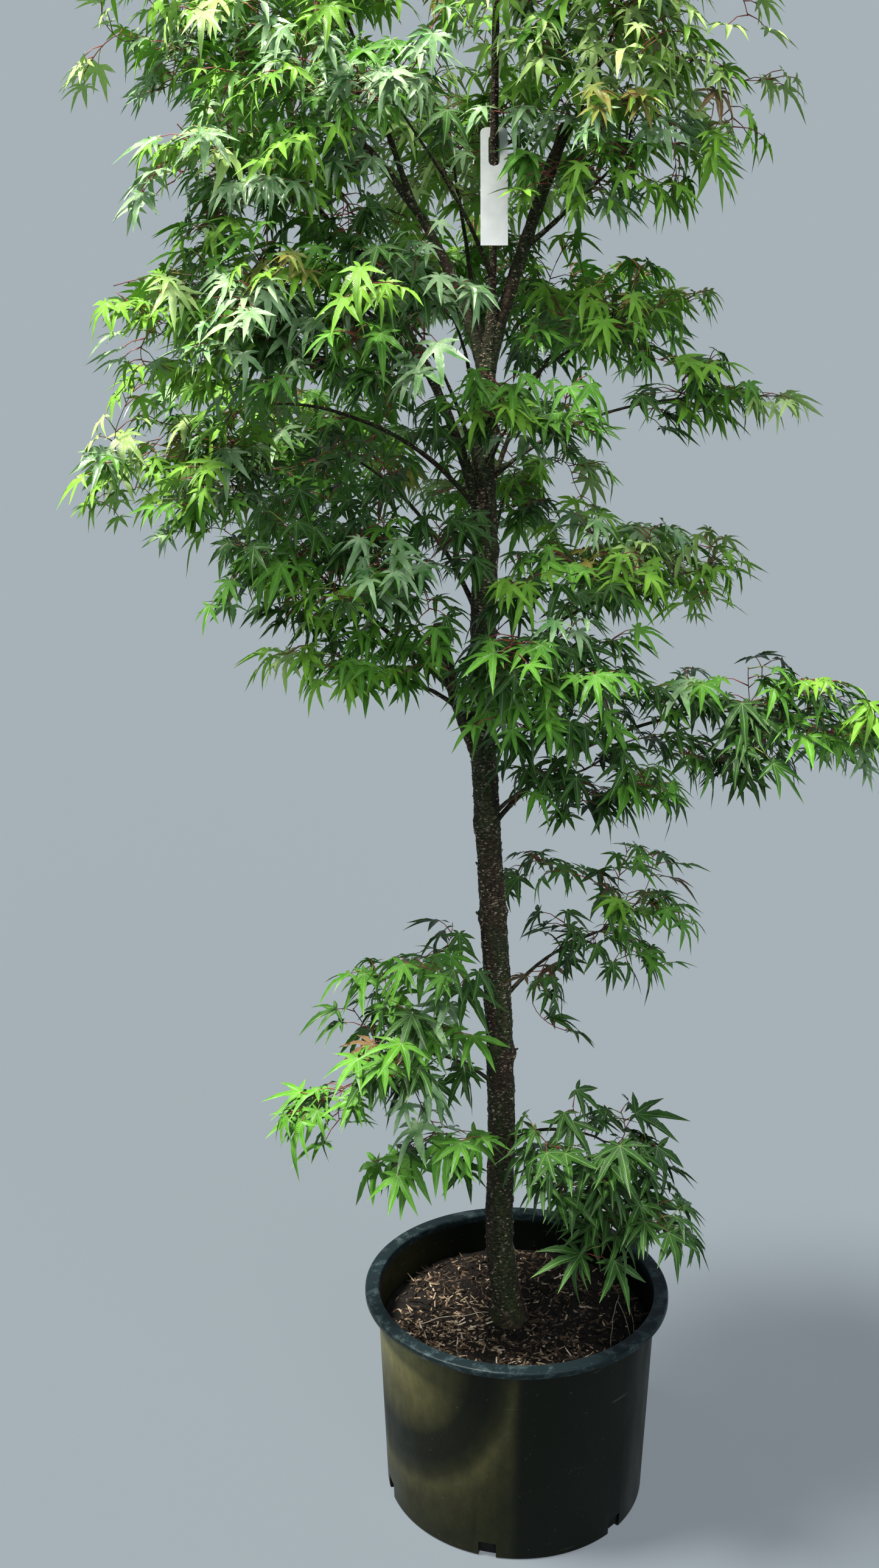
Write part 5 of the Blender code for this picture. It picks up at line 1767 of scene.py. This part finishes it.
VEIN_SLANT = 3.4
# Roughness and specular level: waxy leaves shine more
PLAIN_LEAF = (0.36, 0.36)
WAXY = {"leaf_silver": (0.30, 0.9), "leaf_lime": (0.36, 0.6)}


def leaf_finish(name, colours):
    roughness, specular = WAXY.get(name, PLAIN_LEAF)
    made = Finish(name, roughness=roughness, specular=specular)
    rib = made.node("ShaderNodeSeparateXYZ")
    made.feed(rib.inputs[0], made.node("ShaderNodeUVMap", uv_map="UVMap").outputs["UV"])
    along, aside = rib.outputs["X"], rib.outputs["Y"]
    colour = made.ramp(made.noise(38, 4, rough=0.6), (0.36, colours[0]), (0.64, colours[1]))
    outwards = made.sum(along, SIDE_VEINS, "MULTIPLY")
    slant = made.sum(outwards, made.sum(aside, VEIN_SLANT, "MULTIPLY"), "SUBTRACT")
    herring = made.sum(made.sum(slant, math.tau, "MULTIPLY"), 0.0, "SINE")
    veined = made.mix(made.ramp(herring, (0.70, 0.0), (1.0, 0.16)), colour, VEIN)
    midrib = made.ramp(aside, (0.05, 0.42), (0.13, 0.0))
    made.colour(made.mix(midrib, veined, VEIN))
    made.bump(made.sum(herring, midrib, "SUBTRACT"), 0.0004, 0.5)
    return made


leaf_finishes = [leaf_finish(name, colours) for name, colours in LEAF_COLOURS.items()]
print("leaf finishes:", ", ".join(LEAF_NAMES))

# %% [markdown]
# ## Dealing out the finishes
#
# On a real tree the leaves of one spray get the same sun. So colours that have a place, here painted
# sunlight and painted shade, are dealt out whole: each spray draws one finish, more often a painted
# sunlit one where its mass is in the light, and high up and far out in it. A few single leaves have
# died, and the ones that the camera sees nearest to those places are dry and brown.

# %% Deal out the finishes
BRONZE_SHARE = 0.008
LIGHT_BY_RISE, LIGHT_BY_REACH, LIGHT_CHANCE = 0.12, 0.34, 0.17
# Steps of painted shade and painted sunlight, from dark to light, below each limit of light
LIGHT_LIMITS = (("leaf_deep", 0.26), ("leaf_green", 0.56), ("leaf_fresh", 0.82))
DRY_PLACES = ((0.17, 0.78), (0.03, 0.69), (0.01, 0.68), (-0.17, 0.58), (0.19, 1.61))


def draw_finish(mass, tip, rng):
    """The finish of one spray: painted sunlight more often high up and far out, where the sun comes, and
    painted shade where light is low.
    """
    rise = (tip.z - mass.middle[2]) / mass.reach[2]
    out = (math.hypot(tip.x, tip.y) - math.hypot(*mass.middle[:2])) / mass.reach[0]
    light = mass.light + LIGHT_BY_RISE * rise + LIGHT_BY_REACH * out + rng.gauss(0.0, LIGHT_CHANCE)
    if rng.random() < BRONZE_SHARE:
        return LEAF_NAMES.index("leaf_bronze")
    # A share of the sprays gets the painted sky sheen
    if rng.random() < mass.silver:
        return LEAF_NAMES.index("leaf_silver")
    for name, limit in LIGHT_LIMITS:
        if light < limit:
            return LEAF_NAMES.index(name)
    return LEAF_NAMES.index("leaf_lime")


spray_finish = {}
for mass in MASSES:
    rng = random.Random(mass.seed + 200)
    for spray, twig in enumerate(crown[mass.name]):
        spray_finish[mass.name, spray] = draw_finish(mass, twig.path[-1], rng)


def nearest_leaf(across, height):
    """The leaf that the camera sees nearest to this place of the trunk's plane."""
    return min(leaves, key=lambda leaf: math.dist(seen_at(leaf.hub), (across, height)))


dry_hubs = {tuple(nearest_leaf(*place).hub) for place in DRY_PLACES}


def finish_of(leaf):
    dry = tuple(leaf.hub) in dry_hubs
    return LEAF_NAMES.index("leaf_dry") if dry else spray_finish[leaf.mass.name, leaf.spray]


print("sprays:", len(spray_finish), "dry leaves:", len(dry_hubs))

# %% [markdown]
# ## Joining the leaves
#
# Five thousand leaves as five thousand objects would be slow to handle and to export. Their points
# are moved by their matrices in arrays and put in one long list, so each storey of the crown becomes
# one plain mesh. The storeys keep each mesh well under two hundred thousand triangles.

# %% Join the leaves
Storey = namedtuple("Storey", "name low high")
STOREYS = (
    Storey("leaves_lower", 0.0, 0.80),
    Storey("leaves_middle", 0.80, 1.30),
    Storey("leaves_upper", 1.30, 1.60),
    Storey("leaves_crown", 1.60, 9.0),
)


def leaf_piece(name, chosen):
    """One mesh of the chosen leaves, with their finishes and the UV map that the veins read."""
    points, faces, ribs, dealt = [], [], [], []
    count = 0
    for leaf in chosen:
        points.append(leaf.shape.points @ leaf.matrix[:3, :3].T + leaf.matrix[:3, 3])
        ribs.append(leaf.shape.ribs)
        faces += [tuple(corner + count for corner in face) for face in leaf.shape.faces]
        dealt += [finish_of(leaf)] * len(leaf.shape.faces)
        count += len(leaf.shape.points)
    piece = mesh_object(name, np.concatenate(points), faces, *leaf_finishes)
    piece.data.polygons.foreach_set("material_index", dealt)
    corners = np.empty(len(piece.data.loops), int)
    piece.data.loops.foreach_get("vertex_index", corners)
    piece.data.uv_layers.new(name="UVMap").data.foreach_set("uv", np.concatenate(ribs)[corners].ravel())
    return piece


leaf_pieces = []
for storey in STOREYS:
    held = [mass for mass in MASSES if storey.low <= mass.middle[2] < storey.high]
    piece = leaf_piece(storey.name, [leaf for leaf in leaves if leaf.mass in held])
    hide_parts(*[f"leaves_{mass.name}" for mass in held])
    leaf_pieces.append(piece)
    print(f"{storey.name}: {triangles(piece)} triangles")

# %% [markdown]
# ## Twigs
#
# This year's twigs are red, and the older ones are as dark as the boughs. They are thin tubes of four
# or five sides, because at this size nobody sees more. All are joined into one mesh, from the paths
# that the rule has already made.

# %% Twigs
TWIG_COLOURS = {
    "twig_dark": ((0.016, 0.012, 0.008), (0.060, 0.038, 0.024)),
    "twig_red": ((0.090, 0.020, 0.018), (0.200, 0.055, 0.038)),
}


def thin_tube(path, widths, sides):
    """Points and faces of a thin tube, closed at both ends."""
    points = []
    for (centre, side, other), width in zip(frames_along(path), widths):
        for corner in range(sides):
            turn = math.tau * corner / sides
            points.append(centre + (side * math.cos(turn) + other * math.sin(turn)) * width / 2)
    faces = tube_faces(len(path), sides)
    last = (len(path) - 1) * sides
    faces.append(tuple(last + corner for corner in range(sides)))
    return points, faces


def joined_tubes(name, tubes, *finishes):
    """One mesh from many thin tubes. Each tube brings the number of its finish."""
    parts = [thin_tube(path, widths, sides) for path, widths, sides, _ in tubes]
    dealt = [finish for (*_, finish), (_, faces) in zip(tubes, parts) for _ in faces]
    made = mesh_object(name, *join_parts(parts), *finishes)
    made.data.polygons.foreach_set("material_index", dealt)
    print(f"{name}: {triangles(made)} triangles")
    return made


def twig_finish(name, dark, light):
    made = Finish(name, roughness=0.55, specular=0.4)
    made.colour(made.ramp(made.noise(160, 4, rough=0.6), (0.35, dark), (0.65, light)))
    made.bump(made.noise(1400, 2), 0.0003, 0.5)
    return made


twig_finishes = [twig_finish(name, *colours) for name, colours in TWIG_COLOURS.items()]
twig_tubes = []
for mass in MASSES:
    for twig in crown[mass.name]:
        twig_tubes.append((twig.path, twig.widths, 4 if twig.fine else 5, int(twig.fine)))
twig_piece = joined_tubes("twigs", twig_tubes, *twig_finishes)

# %% [markdown]
# ## Stubs and bare roots
#
# Where a twig broke off, the trunk keeps a stub a centimetre long, and a few pale roots lie bare on
# the mix. Both are single things with a place of their own, so each is a line in a table. The twigs'
# helper draws them too: a stub widens again at its broken end, and a root follows the mix below it.
# A curve object with a bevel would do as well, but it would have to be made a mesh afterwards.

# %% Stubs and rootlets
Stub = namedtuple("Stub", "height turn rise length width")
STUBS = (
    Stub(0.737, 184, 40, 0.0095, 0.0040),
    Stub(0.572, -2, 20, 0.0085, 0.0030),
    Stub(0.796, 178, 55, 0.0070, 0.0030),
    Stub(0.905, 40, 50, 0.0090, 0.0032),
    Stub(0.352, 160, 45, 0.0070, 0.0032),
    Stub(0.498, 100, 45, 0.0090, 0.0032),
)
STUB_SHAPE = (1.0, 0.9, 0.8, 1.0, 0.45)
STUB_SIDES = 7
STUB_SUNK = 0.002
# Three places across and back for each root
ROOTLETS = (
    ((-0.115, -0.024), (-0.073, -0.003), (-0.035, -0.004)),
    ((0.133, 0.043), (0.113, -0.028), (0.110, -0.068)),
    ((0.128, 0.026), (0.137, -0.010), (0.135, -0.048)),
    ((0.140, 0.028), (0.146, -0.005), (0.141, -0.038)),
)
ROOTLET_LIFT = 0.006
ROOTLET_WIDTH = 0.0012
ROOTLET_STEPS = 12
ROOTLET_SIDES = 5
ROOTLET_WAVE, ROOTLET_WAVE_LENGTH = 0.0025, 0.02
ROOT_PALE = ((0.26, 0.20, 0.13), (0.50, 0.42, 0.32))


def stub_tube(stub):
    trunk_path = limbs["trunk"].path
    foot = min(trunk_path, key=lambda point: abs(point.z - stub.height))
    reach = limbs["trunk"].widths[trunk_path.index(foot)] / 2
    out = heading(stub.turn, 0) * (reach - STUB_SUNK)
    ahead = heading(stub.turn, stub.rise) * (stub.length / (len(STUB_SHAPE) - 1))
    path = [foot + out + ahead * step for step in range(len(STUB_SHAPE))]
    return path, [stub.width * share for share in STUB_SHAPE], STUB_SIDES, 0


def rootlet_tube(places):
    ends = [Vector((x, y, soil_height(x, y) + ROOTLET_LIFT)) for x, y in places]
    path = []
    widths = []
    for step in range(ROOTLET_STEPS + 1):
        share = step / ROOTLET_STEPS
        point = ends[0].lerp(ends[1], share).lerp(ends[1].lerp(ends[2], share), share)
        path.append(point + noise.noise_vector(point / ROOTLET_WAVE_LENGTH) * ROOTLET_WAVE)
        widths.append(ROOTLET_WIDTH * (1.0 - 0.4 * step / ROOTLET_STEPS))
    return path, widths, ROOTLET_SIDES, 0


stub_piece = joined_tubes("trunk_stubs", [stub_tube(stub) for stub in STUBS], twig_finishes[0])
rootlet_tubes = [rootlet_tube(places) for places in ROOTLETS]
rootlet_piece = joined_tubes("rootlets", rootlet_tubes, twig_finish("root_pale", *ROOT_PALE))

# %% [markdown]
# ## Leaf stalks
#
# Every leaf hangs on a stalk of one to three centimetres. About two thirds are red and the others
# green. A stalk is a tube of three sides and two steps, bowed upwards by the weight at its end. All
# stalks are one joined mesh, because thousands of objects would slow Blender down.

# %% Leaf stalks
STALK_COLOURS = {
    "stalk_red": ((0.170, 0.030, 0.026), (0.300, 0.075, 0.050)),
    "stalk_green": ((0.120, 0.160, 0.030), (0.220, 0.260, 0.060)),
}
STALK_WIDTH = 0.0011
STALK_FOOT_WIDTH = 0.0017
STALK_BOW = 0.10
GREEN_STALKS = 0.35

stalk_finishes = [twig_finish(name, *colours) for name, colours in STALK_COLOURS.items()]
stalk_rng = random.Random(31)
stalk_tubes = []
for leaf in leaves:
    away = leaf.hub - leaf.root
    rise = leaf.root + away * 0.55 + UP * away.length * STALK_BOW
    path = [leaf.root, rise, leaf.hub]
    widths = [STALK_FOOT_WIDTH, STALK_WIDTH, STALK_WIDTH]
    stalk_tubes.append((path, widths, 3, int(stalk_rng.random() < GREEN_STALKS)))
stalk_piece = joined_tubes("leaf_stalks", stalk_tubes, *stalk_finishes)

# %% [markdown]
# ## Riding on the packed model
#
# Every finished piece rides on the one body of the packed model.

# %% Ride and finish
wooden = [trunk, boughs, wart_piece, twig_piece, stalk_piece, stub_piece, rootlet_piece]
pieces = [pot, soil, label] + wooden + litter_pieces + leaf_pieces
for piece in pieces:
    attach(piece, "root")
print("pieces:", len(pieces), "with", sum(triangles(piece) for piece in pieces), "triangles")
